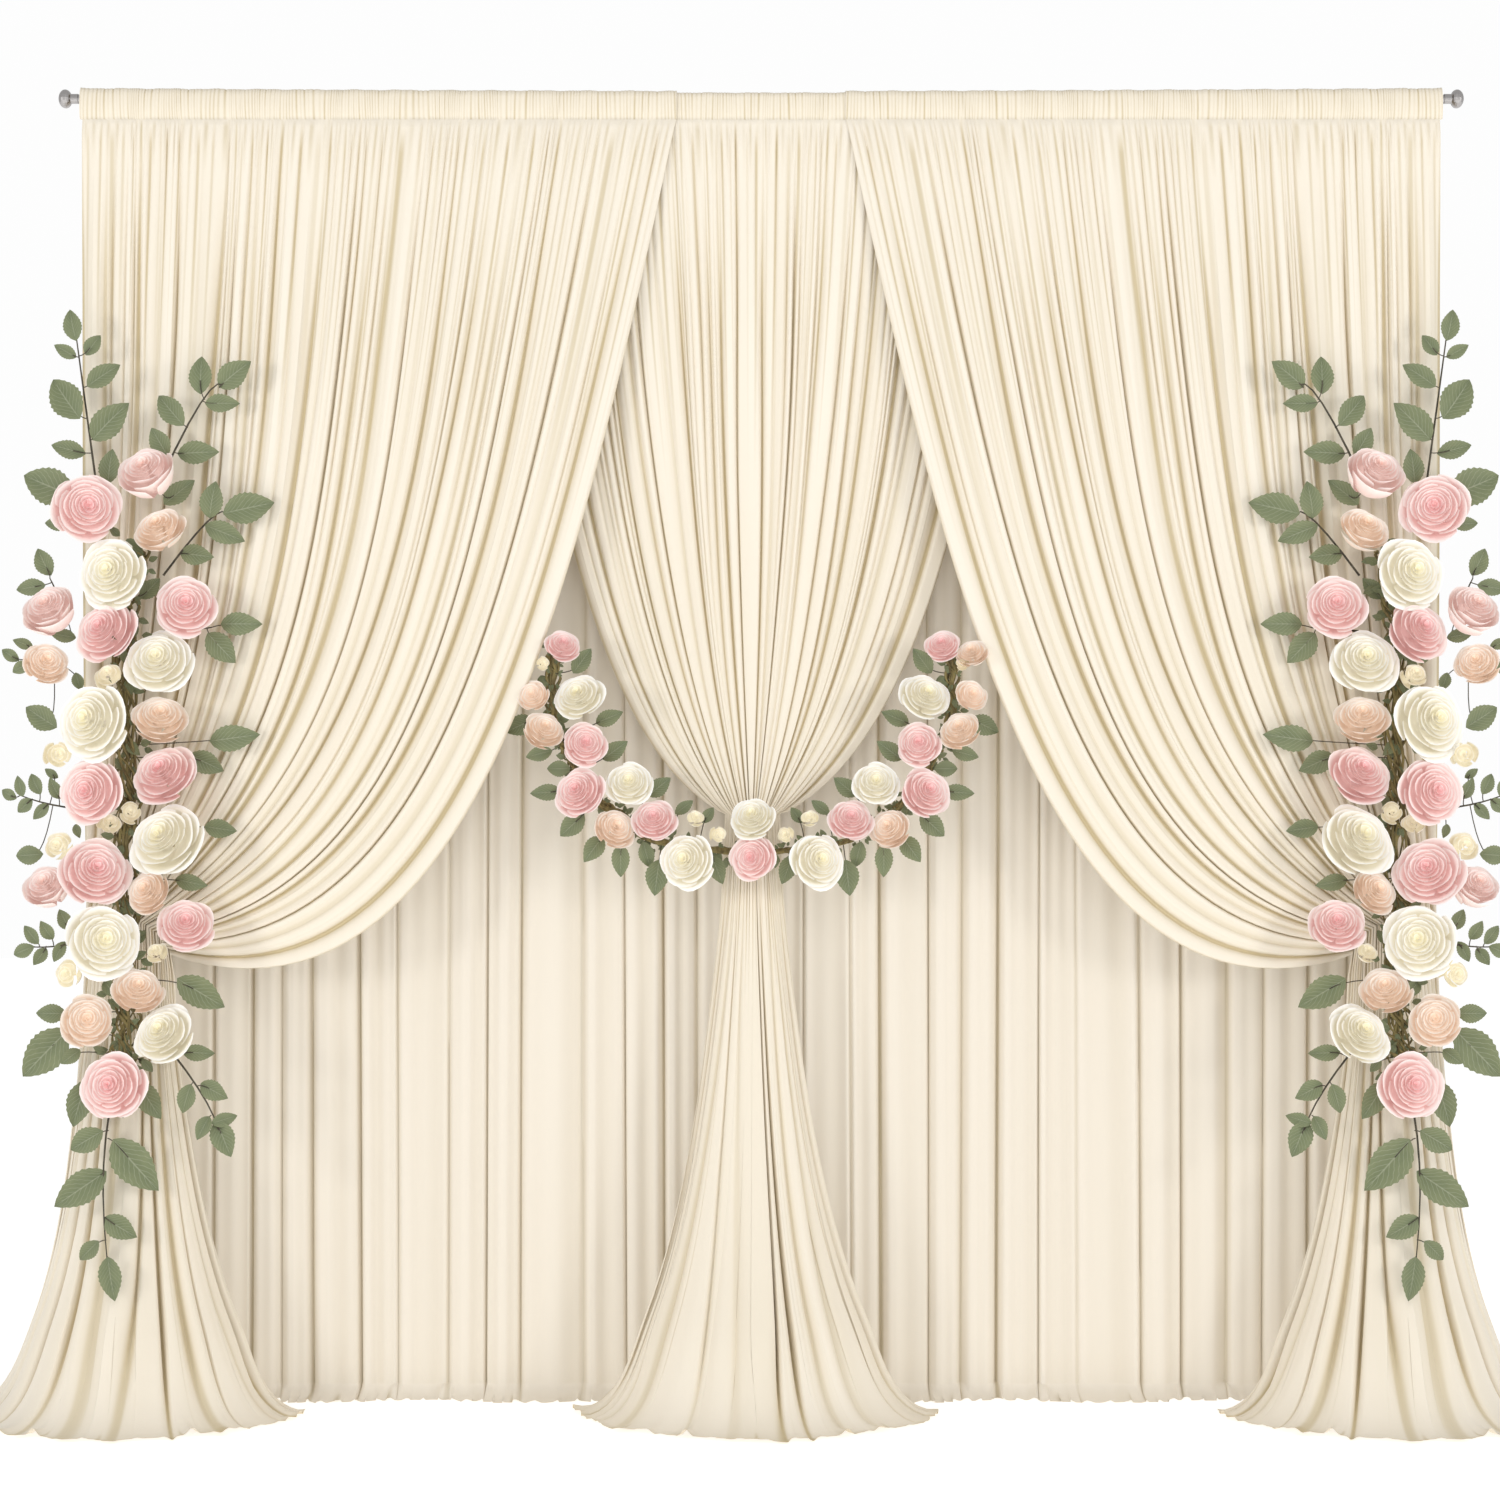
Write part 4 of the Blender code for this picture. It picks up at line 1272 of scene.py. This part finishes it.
@dataclass
class Garland:
    """Roses, leafy sprigs and a twisted twig core, in a plane that leans with the cloth behind it."""

    name: str
    node: str
    core: Sequence[Pair]
    roses: Sequence[Rose]
    sprigs: Sequence[Sequence[Pair]]
    leaves: Sequence[Leaf]
    depth: float  # Y of the plane at the tie
    core_radius: float
    middle_x: float = 0.0
    sides: Tuple[int, ...] = (1,)  # -1 is the mirrored side
    tie_height: float = -1.90
    leaning: bool = True
    leaflets: int = 170
    mirrored_only: int = 0  # how many of the last roses stand on the mirrored side alone
    twigs: int = 16
    twig_steps: int = 90
    twig_radius: float = 0.0026
    stem_steps: int = 7
    stem_radii: Pair = (0.0027, 0.0014)  # at a sprig's foot and tip
    stalk_radius: float = 0.0012

    def plane(self, z: np.ndarray) -> np.ndarray:
        """Find the depth of the garland's plane: back above the tie, forward below it as the tail widens.

        Args:
            z: heights.

        Returns:
            Y at each height.
        """
        if not self.leaning:
            return np.full_like(z, self.depth)
        above = np.clip(z - self.tie_height, 0.0, 1.0)
        below = np.maximum(self.tie_height - z, 0.0)
        return self.depth + 0.045 * above - 0.16 * below**1.6

    def points(self, flat: Union[Sequence[Pair], np.ndarray], forward: float, side: int) -> np.ndarray:
        """Place flat points in the garland's plane.

        Args:
            flat: (x, z) in millimetres.
            forward: distance forward of the plane.
            side: -1 mirrors them.

        Returns:
            Points, (points, 3).
        """
        pairs = np.array(flat, dtype=float) * MM
        y = self.plane(pairs[:, 1]) - forward
        return np.stack([self.middle_x + side * pairs[:, 0], y, pairs[:, 1]], axis=1)

    def core_line(self, share: np.ndarray, side: int) -> np.ndarray:
        """Read the core's line.

        Args:
            share: places from 0 at the first joint to 1 at the last.
            side: -1 mirrors it.

        Returns:
            Points, (places, 3).
        """
        line = self.points(self.core, 0.0, side)
        joints = np.arange(len(line))
        place = share * (len(line) - 1.0)
        return np.stack([np.interp(place, joints, line[:, axis]) for axis in range(3)], axis=1)

    def build(
        self,
        petals: Dict[Bloom, bpy.types.Material],
        green: bpy.types.Material,
        stem: bpy.types.Material,
        moss: bpy.types.Material,
    ) -> None:
        """Make all the garland's pieces.

        Args:
            petals: finish of each colour of rose.
            green: leaf finish.
            stem: stem finish.
            moss: finish of the core's twigs.
        """
        kinds = {rose[3] for rose in self.roses}
        for bloom in Bloom:
            if bloom in kinds:
                grids = partial(self.rose_grids, bloom)
                self.piece(f"{bloom.value}_roses", petals[bloom], grids, "petal")
        self.piece("leaves", green, self.leaf_grids, "leaf")
        self.piece("stems", stem, self.stem_grids)
        self.piece("twigs", moss, self.twig_grids)
        self.piece("filler", green, self.filler_grids, "leaf")
        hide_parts(self.node)

    def piece(
        self, suffix: str, finish: bpy.types.Material, grids: Callable[[int], List[Surface]], layer: str = ""
    ) -> bpy.types.Object:
        """Make one piece of all sides of the garland.

        Args:
            suffix: ends the piece's name.
            finish: the material.
            grids: gives the surfaces of one side.
            layer: name of their UV layer, or nothing where they have none.

        Returns:
            The piece.
        """
        surfaces = [surface for side in self.sides for surface in grids(side)]
        joined = [np.concatenate(part) for part in zip(*surfaces)]
        layers = {layer: joined[1]} if layer else {}
        return patches(f"{self.name}_{suffix}", joined[0], layers, finish)

    def rose_grids(self, bloom: Bloom, side: int) -> List[Surface]:
        """Roses of one colour.

        Args:
            bloom: the colour.
            side: -1 mirrors them.

        Returns:
            One surface for each rose.
        """
        made = []
        for number, (x, z, radius, kind) in enumerate(self.roses):
            extra = number >= len(self.roses) - self.mirrored_only
            if kind is not bloom or (x == 0 and side < 0) or (extra and side > 0):
                continue
            forward = 0.024 + 0.64 * radius * MM + 0.006 * math.sin(2.3 * number)
            centre = self.points([(x, z)], forward, side)[0]
            look = self.facing(number, kind, side)
            made.append(ROSE_SHAPES[kind].grids(centre, radius * MM, look, 1.9 * number))
        return made

    @staticmethod
    def facing(number: int, kind: Bloom, side: int) -> np.ndarray:
        """Choose where a rose looks: forward with a small tilt, blush ones well upward and outward.

        Args:
            number: the rose's place in the table.
            kind: its colour.
            side: -1 mirrors it.

        Returns:
            The direction.
        """
        tilt = 0.42 * math.sin(1.7 * number + 0.6)
        rise = 0.28 * math.cos(2.9 * number) + 0.42
        if kind is Bloom.BLUSH:
            tilt = -0.30
            rise = 0.80
        elif kind is Bloom.PEACH:
            rise += 0.20
        return np.array([side * tilt, -1.0, rise])

    def leaf_grids(self, side: int) -> List[Surface]:
        """Leaves, set a little forward and back.

        Args:
            side: -1 mirrors them.

        Returns:
            One surface, of all the leaves.
        """
        table = np.array(self.leaves, dtype=float)
        number = np.arange(len(table))
        foot = self.points(table[:, :2], 0.004, side)
        tip = self.points(table[:, 2:], 0.004, side)
        foot[:, 1] += 0.006 * np.sin(1.3 * number)
        tip[:, 1] += 0.012 * np.sin(2.1 * number)
        droop = 0.05 + 0.05 * np.sin(3.1 * number)
        broad = 0.29 + 0.03 * np.sin(1.9 * number)
        return [LeafShape().grids(foot, tip, droop, broad)]

    def filler_grids(self, side: int) -> List[Surface]:
        """Small leaflets that stand out from the core all along it, a golden turn apart.

        Args:
            side: -1 mirrors them.

        Returns:
            One surface, of all the leaflets.
        """
        number = np.arange(self.leaflets)
        spine = self.core_line((number + 0.5) / self.leaflets, side)
        turn = GOLDEN_TURN * number
        out = np.stack([np.cos(turn), -0.12 - 0.12 * np.sin(3.0 * turn), np.sin(turn)], axis=1)
        start = self.core_radius * (0.9 + 0.5 * np.sin(1.7 * number))[:, None]
        length = (self.core_radius * 0.45 + 0.012 + 0.007 * np.sin(2.3 * number))[:, None]
        foot = spine + out * start
        droop = np.full(self.leaflets, 0.1)
        broad = np.full(self.leaflets, 0.3)
        return [LeafShape(rows=6, columns=3).grids(foot, foot + out * length, droop, broad)]

    def nearest_on_stems(self, feet: np.ndarray) -> np.ndarray:
        """Find the nearest point of the core or a sprig to each leaf's foot.

        Args:
            feet: (x, z) in millimetres.

        Returns:
            Nearest points, likewise.
        """
        lines = [self.core, *self.sprigs]
        start = np.array([joint for line in lines for joint in line[:-1]], dtype=float)[None]
        run = np.array([joint for line in lines for joint in line[1:]], dtype=float)[None] - start
        share = ((feet[:, None] - start) * run).sum(-1) / (run * run).sum(-1)
        nearest = start + np.clip(share, 0.0, 1.0)[..., None] * run
        gap = np.linalg.norm(nearest - feet[:, None], axis=-1)
        return nearest[np.arange(len(feet)), gap.argmin(axis=1)]

    def stem_grids(self, side: int) -> List[Surface]:
        """Leaf stalks, then sprig stems, as thin tubes.

        Args:
            side: -1 mirrors them.

        Returns:
            A surface of the stalks and one of each stem.
        """
        share = np.linspace(0.0, 1.0, self.stem_steps)[None, :, None]
        table = np.array(self.leaves, dtype=float)
        roots = self.points(self.nearest_on_stems(table[:, :2]), 0.002, side)
        feet = self.points(table[:, :2], 0.004, side)
        tips = self.points(table[:, 2:], 0.004, side)
        inner = feet + 0.35 * (tips - feet)
        stalks = quadratic(roots[:, None], feet[:, None], inner[:, None], share)
        made = [(tubes(stalks, np.full(stalks.shape[:2], self.stalk_radius), 5),)]
        for joints in self.sprigs:
            first, second, third = self.points(joints, 0.002, side)
            bend = 2.0 * second - 0.5 * (first + third)
            radii = np.linspace(*self.stem_radii, self.stem_steps)[None]
            made.append((tubes(quadratic(first, bend, third, share), radii, 5),))
        return made

    def twig_grids(self, side: int) -> List[Surface]:
        """Wind twigs about the core's line.

        Each twig is the core's smoothed line plus a circle whose radius and pace differ from twig to twig.

        Args:
            side: -1 mirrors them.

        Returns:
            One surface, of tubes.
        """
        steps = np.linspace(0.0, 1.0, self.twig_steps)
        kernel = np.ones(9) / 9.0
        padded = np.pad(self.core_line(steps, side), ((4, 4), (0, 0)), mode="edge")
        spine = np.stack([np.convolve(padded[:, axis], kernel, mode="valid") for axis in range(3)], axis=1)
        number = np.arange(self.twigs)[:, None]
        share = steps[None, :]
        angle = GOLDEN_TURN * number + (5.0 + 2.0 * np.sin(1.7 * number)) * share * TURN
        away = self.core_radius * (0.55 + 0.45 * np.sin(2.0 * number + 23.0 * share))
        across = np.stack([away * np.cos(angle), 0.4 * away * np.sin(angle), np.zeros_like(angle)], axis=-1)
        jitter = 0.004 * np.sin(61.0 * share + 3.0 * number)[..., None]
        radii = self.twig_radius + 0.0012 * np.sin(40.0 * share + number)
        return [(tubes(spine[None] + across + jitter, radii, 4),)]


# -------- Studio --------


@dataclass
class Studio:
    """Pale floor, white surround, soft lights and the camera."""

    distance: float = 6.6
    eye: Pair = (-0.025, -1.459)
    view_width: float = 3.3615
    sensor: float = 36.0
    floor_half: float = 14.0
    side_power: float = 74.0
    top_power: float = 40.0
    world_light: float = 0.62
    world_seen: float = 0.985

    def build(self, floor: bpy.types.Material) -> None:
        """Make floor, surround, lights and camera.

        Args:
            floor: the floor's finish.
        """
        self.ground(floor)
        self.surround()
        for side, name in ((-1.0, "left"), (1.0, "right")):
            place = (side * 5.2, -4.6, -0.7)
            self.lamp(f"softbox_{name}", place, (side * 0.4, 0.0, -1.45), 1.4, self.side_power)
        self.lamp("softbox_top", (0.0, -5.4, 0.6), (0.0, 0.0, -1.6), 2.6, self.top_power)
        self.camera()

    def ground(self, floor: bpy.types.Material) -> None:
        """Make the square floor, a hair below the cloth.

        Args:
            floor: its finish.
        """
        shape = bmesh.new()
        bmesh.ops.create_grid(shape, x_segments=1, y_segments=1, size=self.floor_half)
        mesh = bpy.data.meshes.new("studio_floor")
        shape.to_mesh(mesh)
        shape.free()
        mesh.transform(Matrix.Translation((0.0, 0.0, FLOOR - 0.0005)))
        mesh.materials.append(floor)
        ground = bpy.data.objects.new("studio_floor", mesh)
        bpy.context.scene.collection.objects.link(ground)

    def surround(self) -> None:
        """White world, a little dimmer as a light than as a background."""
        world = bpy.data.worlds.new("white_surround")
        world.use_nodes = True
        tree = world.node_tree
        tree.nodes.clear()
        blend = tree.nodes.new("ShaderNodeMixShader")
        path = tree.nodes.new("ShaderNodeLightPath")
        tree.links.new(path.outputs["Is Camera Ray"], blend.inputs[0])
        for number, (grey, strength) in enumerate(((1.0, self.world_light), (self.world_seen, 1.0)), start=1):
            white = tree.nodes.new("ShaderNodeBackground")
            white.inputs["Color"].default_value = (grey, grey, grey, 1.0)
            white.inputs["Strength"].default_value = strength
            tree.links.new(white.outputs[0], blend.inputs[number])
        output = tree.nodes.new("ShaderNodeOutputWorld")
        tree.links.new(blend.outputs[0], output.inputs[0])
        bpy.context.scene.world = world

    @staticmethod
    def lamp(name: str, place: Triple, target: Triple, size: float, power: float) -> None:
        """Square soft light aimed at a point.

        Args:
            name: the lamp's name.
            place: where it stands.
            target: where it is aimed.
            size: side of the square.
            power: watts.
        """
        data = bpy.data.lights.new(name, "AREA")
        data.size = size
        data.energy = power
        made = bpy.data.objects.new(name, data)
        made.location = place
        made.rotation_euler = (Vector(target) - Vector(place)).to_track_quat("-Z", "Y").to_euler()
        bpy.context.scene.collection.objects.link(made)

    def camera(self) -> None:
        """Camera square to the curtain, its lens worked out from the width that it takes in at the rod."""
        data = bpy.data.cameras.new("camera")
        data.sensor_width = self.sensor
        data.lens = self.sensor * self.distance / self.view_width
        data.clip_end = 60.0
        made = bpy.data.objects.new("camera", data)
        made.location = (self.eye[0], -self.distance, self.eye[1])
        made.rotation_euler = (math.pi / 2.0, 0.0, 0.0)
        bpy.context.scene.collection.objects.link(made)
        bpy.context.scene.camera = made
        bpy.context.scene.view_settings.view_transform = "Standard"


# -------- Sizes of this curtain --------

SIDE_HANG = {
    "outer edge": [
        (-1.518, -0.0125, STITCH), (-1.514, -0.030, -0.65), (-1.513, -0.040, -1.25), (-1.500, -0.050, -1.86),
    ],
    "middle": [
        (-0.857, -0.0125, STITCH), (-0.925, -0.090, -1.01), (-0.975, -0.150, -1.44), (-1.385, -0.090, -1.835),
    ],
    "inner edge": [
        (-0.190, -0.0125, STITCH), (-0.388, -0.110, -1.00), (-0.595, -0.240, -2.14), (-1.310, -0.060, -1.91),
    ],
}
CENTRE_EDGE = [
    (-0.600, -0.0100, STITCH), (-0.520, -0.012, -0.500), (-0.425, -0.015, -1.450), (-0.076, -0.035, -1.60),
]
CENTRE_MIDDLE = [
    (0.0, -0.0100, STITCH), (0.0, -0.030, -0.55), (-0.010, -0.050, -1.20), (-0.020, -0.075, -1.60),
]
BACK_VALLEYS = [
    -1520, -1430, -1335, -1240, -1150, -1080, -1010, -905, -825, -710, -620, -540, -395, -305, -222, -150,
    -60, 20, 100, 205, 267, 375, 450, 535, 632, 715, 855, 945, 1050, 1135, 1240, 1330, 1430, 1520,
]
SIDE_ROSES: List[Rose] = [
    (-1338, -856, 71, Bloom.BLUSH), (-1464, -932, 74, Bloom.PINK), (-1313, -977, 61, Bloom.PEACH),
    (-1412, -1073, 78, Bloom.IVORY), (-1547, -1154, 66, Bloom.BLUSH), (-1251, -1144, 67, Bloom.PINK),
    (-1426, -1199, 72, Bloom.PINK), (-1310, -1264, 74, Bloom.IVORY), (-1556, -1269, 52, Bloom.PEACH),
    (-1420, -1299, 35, Bloom.BUD), (-1454, -1395, 85, Bloom.IVORY), (-1304, -1390, 65, Bloom.PEACH),
    (-1529, -1470, 35, Bloom.BUD), (-1298, -1510, 72, Bloom.PINK), (-1453, -1550, 72, Bloom.PINK),
    (-1417, -1620, 30, Bloom.BUD), (-1372, -1595, 28, Bloom.BUD), (-1291, -1650, 85, Bloom.IVORY),
    (-1526, -1670, 37, Bloom.BUD), (-1441, -1720, 76, Bloom.PINK), (-1546, -1755, 58, Bloom.BLUSH),
    (-1330, -1765, 54, Bloom.PEACH), (-1245, -1835, 61, Bloom.PINK), (-1419, -1870, 80, Bloom.IVORY),
    (-1314, -1900, 28, Bloom.BUD), (-1499, -1945, 37, Bloom.BUD), (-1349, -1979, 61, Bloom.PEACH),
    (-1457, -2044, 61, Bloom.PEACH), (-1292, -2069, 70, Bloom.IVORY), (-1400, -2182, 72, Bloom.PINK),
]
# joints of a core or of a sprig, in millimetres from the middle and from the rod
SIDE_CORE = [(-1375, -1010), (-1400, -1200), (-1385, -1500), (-1390, -1800), (-1385, -2050), (-1405, -2200)]
SIDE_SPRIGS = [
    [(-1455, -924), (-1491, -661), (-1506, -550)], [(-1324, -874), (-1233, -697), (-1183, -656)],
    [(-1313, -1076), (-1218, -958), (-1177, -940)], [(-1459, -1591), (-1550, -1579), (-1622, -1558)],
    [(-1436, -1862), (-1516, -1884), (-1592, -1889)], [(-1323, -2072), (-1226, -2194), (-1179, -2284)],
    [(-1406, -2190), (-1426, -2357), (-1411, -2555)], [(-1530, -1160), (-1545, -1118), (-1562, -1082)],
    [(-1311, -1198), (-1241, -1194), (-1206, -1190)], [(-1552, -1262), (-1585, -1262), (-1612, -1260)],
]
SIDE_LEAVES: List[Leaf] = [
    (-1506, -560, -1521, -490), (-1486, -591, -1455, -545), (-1506, -596, -1552, -570),
    (-1481, -661, -1410, -611), (-1496, -732, -1562, -641), (-1471, -778, -1390, -697),
    (-1486, -808, -1562, -788), (-1506, -904, -1627, -853), (-1435, -874, -1425, -798),
    (-1515, -965, -1576, -960), (-1233, -677, -1233, -591), (-1193, -661, -1122, -606),
    (-1223, -697, -1147, -697), (-1268, -747, -1329, -677), (-1304, -813, -1339, -752),
    (-1284, -808, -1193, -803), (-1314, -919, -1248, -864), (-1212, -950, -1198, -869),
    (-1182, -940, -1071, -914), (-1222, -965, -1136, -1000), (-1277, -1026, -1202, -1036),
    (-1560, -1076, -1591, -1016), (-1570, -1097, -1640, -1107), (-1185, -1183, -1094, -1183),
    (-1215, -1203, -1154, -1268), (-1628, -1263, -1669, -1238), (-1598, -1233, -1639, -1218),
    (-1603, -1268, -1643, -1289), (-1541, -1410, -1617, -1364), (-1208, -1440, -1098, -1425),
    (-1253, -1470, -1178, -1505), (-1630, -1566, -1665, -1546), (-1615, -1561, -1626, -1515),
    (-1575, -1556, -1600, -1510), (-1595, -1566, -1630, -1596), (-1534, -1566, -1555, -1520),
    (-1559, -1576, -1594, -1611), (-1568, -1686, -1634, -1691), (-1217, -1626, -1146, -1636),
    (-1281, -1741, -1211, -1756), (-1511, -1852, -1537, -1807), (-1546, -1872, -1572, -1832),
    (-1576, -1882, -1612, -1842), (-1586, -1887, -1636, -1907), (-1561, -1892, -1586, -1927),
    (-1521, -1877, -1546, -1922), (-1275, -1957, -1173, -2022), (-1514, -2032, -1580, -2032),
    (-1509, -2067, -1611, -2171), (-1262, -2116, -1192, -2121), (-1221, -2185, -1160, -2215),
    (-1241, -2185, -1259, -2249), (-1194, -2269, -1139, -2254), (-1199, -2254, -1223, -2303),
    (-1184, -2264, -1152, -2342), (-1466, -2176, -1498, -2279), (-1356, -2180, -1304, -2259),
    (-1428, -2284, -1501, -2328), (-1407, -2303, -1309, -2415), (-1420, -2372, -1527, -2445),
    (-1421, -2469, -1350, -2512), (-1429, -2517, -1472, -2560), (-1408, -2550, -1389, -2641),
    (-1394, -995, -1358, -1041), (-1362, -1127, -1322, -1081), (-1503, -1213, -1558, -1203),
    (-1376, -1329, -1356, -1299), (-1502, -1289, -1492, -1329), (-1390, -1440, -1359, -1470),
    (-1540, -1520, -1570, -1500), (-1382, -1691, -1362, -1731), (-1499, -1621, -1488, -1651),
    (-1406, -1802, -1376, -1832), (-1365, -1882, -1346, -1852), (-1435, -1962, -1405, -1997),
    (-1393, -2091, -1372, -2131), (-1347, -2131, -1326, -2161), (-1483, -2111, -1522, -2141),
]
CENTRE_ROSES: List[Rose] = [
    (-415, -1230, 40, Bloom.PINK), (-460, -1270, 18, Bloom.BUD), (-380, -1340, 57, Bloom.IVORY),
    (-480, -1340, 38, Bloom.PEACH), (-455, -1415, 49, Bloom.PEACH), (-365, -1445, 49, Bloom.PINK),
    (-380, -1550, 57, Bloom.PINK), (-270, -1530, 51, Bloom.IVORY), (-300, -1630, 49, Bloom.PEACH),
    (-215, -1610, 49, Bloom.PINK), (-145, -1700, 62, Bloom.IVORY), (-125, -1610, 24, Bloom.BUD),
    (-75, -1645, 22, Bloom.BUD), (0, -1605, 51, Bloom.IVORY), (0, -1695, 51, Bloom.PINK),
    (-480, -1246, 38, Bloom.PEACH),
]
CENTRE_CORE = [(-440, -1240), (-440, -1400), (-355, -1560), (-220, -1660), (0, -1690)]
CENTRE_LEAVES: List[Leaf] = [
    (-395, -1290, -355, -1235), (-480, -1390, -545, -1420), (-345, -1400, -285, -1375),
    (-440, -1460, -500, -1475), (-400, -1500, -455, -1500), (-330, -1480, -275, -1440),
    (-420, -1550, -490, -1555), (-370, -1600, -425, -1650), (-230, -1560, -180, -1520),
    (-170, -1600, -130, -1570), (-110, -1620, -85, -1585), (-330, -1650, -370, -1705),
    (-290, -1665, -290, -1740), (-240, -1660, -225, -1720), (-205, -1700, -215, -1780),
    (-90, -1690, -65, -1755),
]


def main() -> None:
    """Dress the frame: satin, nickel, garlands and studio."""
    logging.basicConfig(level=logging.INFO, format="%(name)s %(message)s")
    satin = Satin("ivory_satin_front").build()
    # painted shade and painted light: a dimmer copy of the front satin for the back panel, which lies in the
    # front panels' shade, and a glow of its own colour that lifts that shade
    painted_shade_back_satin = Satin(
        "ivory_satin_back_painted_shade_and_glow", light=(0.745, 0.685, 0.588), deep=(0.480, 0.405, 0.270), glow=0.145
    ).build()
    side_heading = Heading(half_depth=0.0152, crown=0.0160, flap=0.0170, front=-0.0125)
    side_folds = Folds(count=28, lead=0.6, edge_band=0.045, valley=0.18)
    side_broad = Folds(
        count=13, lead=1.3, edge_band=0.07, valley=0.13, drift=0.35, uneven=1.3, crowd=0.45, growth=0.0
    )
    for side, mirror in (("left", False), ("right", True)):
        SidePanel(
            name=f"side_curtain_{side}", node=f"side_panel_{side}", hang=SIDE_HANG, mirror=mirror,
            heading=side_heading, heading_x=(-HALF_WIDTH, -CENTRE_HALF), flat=(1.50, 3.15),
            folds=side_folds, broad=side_broad, pleats_per_fold=2.15, pool=Pool(x=-1.39, half_width=0.39),
            drop=0.52, spread=0.43, outer_fall=0.50, columns=900, hang_rows=56, tail_rows=30,
        ).build(satin)
    centre_heading = Heading(half_depth=0.0125, crown=0.0125, flap=0.0140, front=-0.0100)
    centre_folds = Folds(count=27, lead=2.1, edge_band=0.045)
    centre_broad = Folds(
        count=13, lead=0.4, edge_band=0.07, valley=0.13, drift=0.35, uneven=1.3, crowd=0.30, growth=0.0
    )
    CentrePanel(
        name="centre_curtain", node="centre_panel", edge=CENTRE_EDGE, middle=CENTRE_MIDDLE,
        heading=centre_heading, heading_x=(-0.600, 0.600), flat=(1.25, 3.15),
        folds=centre_folds, broad=centre_broad, pleats_per_fold=2.0, pool=Pool(x=-0.008, half_width=0.40),
        drop=0.50, spread=0.40, columns=800, hang_rows=56, tail_rows=30,
    ).build(satin)
    BackPanel(BACK_VALLEYS).build(painted_shade_back_satin)

    petals = {bloom: finish.build() for bloom, finish in PETALS.items()}
    green = LeafGreen().build()
    stem = Twig("stem_bark", light=(0.10, 0.085, 0.055), dark=(0.045, 0.038, 0.026)).build()
    moss = Twig("olive_twigs", light=(0.30, 0.25, 0.10), dark=(0.13, 0.10, 0.04)).build()
    for side, mirrored in (("left", 1), ("right", -1)):
        Garland(
            name=f"{side}_garland", node=f"garland_{side}", core=SIDE_CORE, roses=SIDE_ROSES,
            sprigs=SIDE_SPRIGS, leaves=SIDE_LEAVES, depth=-0.169, core_radius=0.030, sides=(mirrored,),
        ).build(petals, green, stem, moss)
    Garland(
        name="centre_garland", node="garland_centre", core=CENTRE_CORE, roses=CENTRE_ROSES, sprigs=[],
        leaves=CENTRE_LEAVES, depth=-0.105, core_radius=0.013, middle_x=-0.020, sides=(1, -1),
        leaning=False, mirrored_only=1,
    ).build(petals, green, stem, moss)

    nickel = Nickel().build()
    for node in ("rod", "finial_left", "finial_right"):
        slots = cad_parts[node].data.materials
        slots.clear()
        slots.append(nickel)
    Studio().build(StudioFloor().build())


if __name__ == "__main__":
    main()
